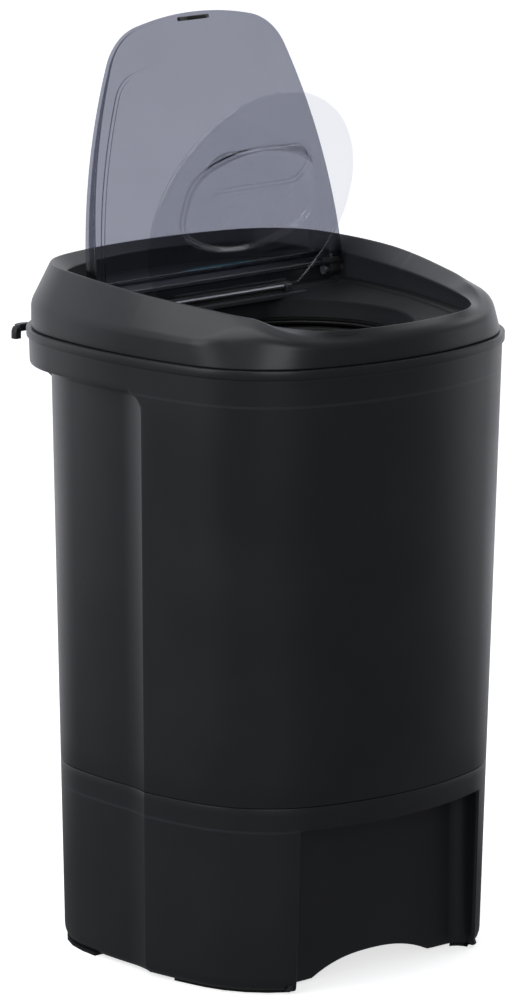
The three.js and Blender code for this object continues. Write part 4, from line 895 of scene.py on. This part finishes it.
def basket():
    """Spin drum with raised ribs and rows of drain holes, and the ring that closes its top."""
    count = 192
    angle = np.linspace(0, 2 * math.pi, count, endpoint=False)
    unit = np.column_stack([np.cos(angle), np.sin(angle)])
    axis = np.array([0, DRUM_Y])
    rib = 1.2 * np.clip(np.cos(angle * 12) - 0.86, 0, 0.14) / 0.14
    stations = [(20.9, 206), (129.0, 206), (130, 207), (130, 597.6), (129.6, 598), (128.2, 598)]
    rings = [at_height(axis + unit * r, z) for r, z in stations]
    for z, k in ((590, 0), (580, 1), (240, 1), (228, 0), (216, 0)):
        rings.append(at_height(axis + unit * (128 - rib * k)[:, None], z))
    rings += [at_height(axis + unit * r, z) for r, z in ((125.5, 210.2), (121, 208.6), (20.9, 208.6))]
    piece = make("spin_basket", *skin(rings, wrap=True), DRUM, "spin")
    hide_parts("drum")
    holes = []
    for column in range(12):
        for row in range(7):
            turn = 2 * math.pi * (column + 0.5 + 0.18 * (row % 2)) / 12
            out = np.array([math.cos(turn), math.sin(turn), 0])
            along = np.array([-out[1], out[0], 0])
            middle = np.array([0, DRUM_Y, 262 + row * 48]) + out * 127.6
            loops = []
            for r, depth in ((5.2, 0.2), (4.6, -0.45), (3.2, -0.3), (2.6, 0.25)):
                loops.append([middle + out * depth + along * r * math.cos(a) + np.array([0, 0,
                    r * math.sin(a)])
                              for a in np.linspace(0, 2 * math.pi, 14, endpoint=False)])
            holes.append(skin(loops, wrap=True))
    piece = make("basket_hole_rims", *merged(*holes), INNER, "spin")
    profile = [(101, 598.4), (131, 598.4), (132, 599.4), (132, 615), (131, 616), (103, 616), (100.8, 614.8),
               (100, 612.5), (100, 600), (100.3, 599)]
    piece = make("balance_ring_moulding", *lathe(profile, 128), DRUM, "spin")
    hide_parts("balance_ring")


def tub_parts():
    pieces = (
        ("tub_ring_moulding", [(102.3, 618.4), (142, 618.4), (142, 621.2), (102.8, 621.2), (102, 620.6),
                               (102, 619)], INNER, "tub_ring", "inner_plastic"),
        ("tub_gasket_moulding", [(105, 621.7), (112, 621.7), (112, 624.9), (105, 624.9), (104.1, 624.2),
                                 (104.1, 622.4)], RUBBER, "tub_gasket", "rubber"),
    )
    for name, profile, material, node_name, slot_name in pieces:
        piece = make(name, *lathe(profile, 128), material)
        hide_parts(node_name)
    inner, outer, floor = 139.6, 141.9, 180.1
    profile = [(21.9, floor), (137, floor), (outer - 0.6, floor + 3), (outer, floor + 6), (outer, 617.9),
               (inner, 617.9), (inner, 190), (137, 184), (21.9, 182.4)]
    piece = make("tub_moulding", *lathe(profile, 128), INNER)
    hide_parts("tub")
    profile = [(9.2, 160.4), (11.2, 160.2), (11.5, 161), (11.5, 169.8), (15.6, 169.9), (16, 170.3),
               (15.6, 171.8), (11.5, 172), (11.5, 177.6), (9.2, 177.9)]
    piece = make("spout_moulding", *lathe(profile, 48, 0, -170), INNER)
    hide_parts("drain_spout")


cabinet()
collar_webs()
base()
cover()
cover_floor()
cover_rear()
deck_marks()
outer_lid()
lid_latch()
inner_lid()
hooks()
gland()
basket()
tub_parts()


# ---- studio ----
def area_light(name, place, target, size, power, colour=(1, 1, 1)):
    light = bpy.data.lights.new(name, "AREA")
    light.shape = "RECTANGLE"
    light.size, light.size_y = size
    light.energy = power
    light.color = colour
    holder = bpy.data.objects.new(name, light)
    holder.location = place
    holder.rotation_mode = "QUATERNION"
    holder.rotation_quaternion = (Vector(target) - Vector(place)).to_track_quat("-Z", "Y")
    bpy.context.scene.collection.objects.link(holder)
    return holder


def studio():
    world = bpy.data.worlds.new("studio")
    bpy.context.scene.world = world
    world.use_nodes = True
    tree = world.node_tree
    tree.nodes.clear()
    output = tree.nodes.new("ShaderNodeOutputWorld")
    place = tree.nodes.new("ShaderNodeTexCoord")
    dot = tree.nodes.new("ShaderNodeVectorMath")
    dot.operation = "DOT_PRODUCT"
    dot.inputs[1].default_value = (0.55, 0.80, 0.0)
    tree.links.new(place.outputs["Generated"], dot.inputs[0])
    level = ramp(tree, dot.outputs["Value"], 0.15, 1.05, -0.1, 0.75)
    lit = tree.nodes.new("ShaderNodeBackground")
    lit.inputs["Color"].default_value = (0.93, 0.95, 1.0, 1)
    tree.links.new(level, lit.inputs["Strength"])
    seen = node(tree, "ShaderNodeBackground", Strength=1.0)
    seen.inputs["Color"].default_value = (1, 1, 1, 1)
    path = tree.nodes.new("ShaderNodeLightPath")
    mix = tree.nodes.new("ShaderNodeMixShader")
    tree.links.new(path.outputs["Is Camera Ray"], mix.inputs["Fac"])
    tree.links.new(lit.outputs["Background"], mix.inputs[1])
    tree.links.new(seen.outputs["Background"], mix.inputs[2])
    tree.links.new(mix.outputs["Shader"], output.inputs["Surface"])

    area_light("left_softbox", (-3.2, 0.6, 1.6), (0, 0, 0.4), (1.6, 2.4), 26)
    area_light("overhead", (-1.0, 0.2, 3.0), (0, 0, 0.5), (2.4, 2.4), 32)
    area_light("front_fill", (-2.4, -3.2, 1.7), (0, 0, 0.4), (1.8, 1.8), 26)
    area_light("right_rim", (2.3, -0.5, 2.7), (0, 0, 0.6), (1.4, 1.4), 9)

    mesh = bpy.data.meshes.new("floor")
    reach = 12.0
    mesh.from_pydata([(-reach, -reach, 0), (reach, -reach, 0), (reach, reach, 0), (-reach, reach, 0)], [],
                     [(0, 1, 2, 3)])
    floor = bpy.data.objects.new("floor", mesh)
    bpy.context.scene.collection.objects.link(floor)
    material, tree, shader = new_material("pale_floor")
    shader.inputs["Base Color"].default_value = (0.85, 0.85, 0.86, 1)
    shader.inputs["Roughness"].default_value = 0.9
    shader.inputs["Specular IOR Level"].default_value = 0.1
    ground = tree.nodes.new("ShaderNodeTexCoord")
    beyond = tree.nodes.new("ShaderNodeVectorMath")
    beyond.operation = "DOT_PRODUCT"
    beyond.inputs[1].default_value = (0.68, 0.73, 0.0)
    tree.links.new(ground.outputs["Object"], beyond.inputs[0])
    dim = tree.nodes.new("ShaderNodeEmission")
    dim.inputs["Color"].default_value = (0.93, 0.94, 1.0, 1)
    tree.links.new(ramp(tree, beyond.outputs["Value"], 0.14, 0.95, 0.2, 1.4), dim.inputs["Strength"])
    shader.inputs["Emission Color"].default_value = (1, 1, 1, 1)
    shader.inputs["Emission Strength"].default_value = 0.70
    path = tree.nodes.new("ShaderNodeLightPath")
    mix = tree.nodes.new("ShaderNodeMixShader")
    tree.links.new(path.outputs["Is Camera Ray"], mix.inputs["Fac"])
    tree.links.new(dim.outputs["Emission"], mix.inputs[1])
    tree.links.new(shader.outputs["BSDF"], mix.inputs[2])
    tree.links.new(mix.outputs["Shader"], tree.nodes["Material Output"].inputs["Surface"])
    mesh.materials.append(material)
    bpy.context.scene.view_settings.view_transform = "Standard"


def camera():
    """Long lens from the front left, a little above the lids."""
    data = bpy.data.cameras.new("camera")
    data.lens = 239.3
    data.sensor_width = 36.0
    data.clip_start, data.clip_end = 0.1, 60.0
    holder = bpy.data.objects.new("camera", data)
    azimuth, elevation = math.radians(-42.57), math.radians(11.89)
    back = Vector((math.sin(azimuth) * math.cos(elevation), -math.cos(azimuth) * math.cos(elevation),
                   math.sin(elevation)))
    holder.location = (-4.4018, -4.7874 + SHIFT_Y / 1000, 1.8206)
    holder.rotation_mode = "QUATERNION"
    holder.rotation_quaternion = (-back).to_track_quat("-Z", "Y")
    bpy.context.scene.collection.objects.link(holder)
    bpy.context.scene.camera = holder


studio()
camera()
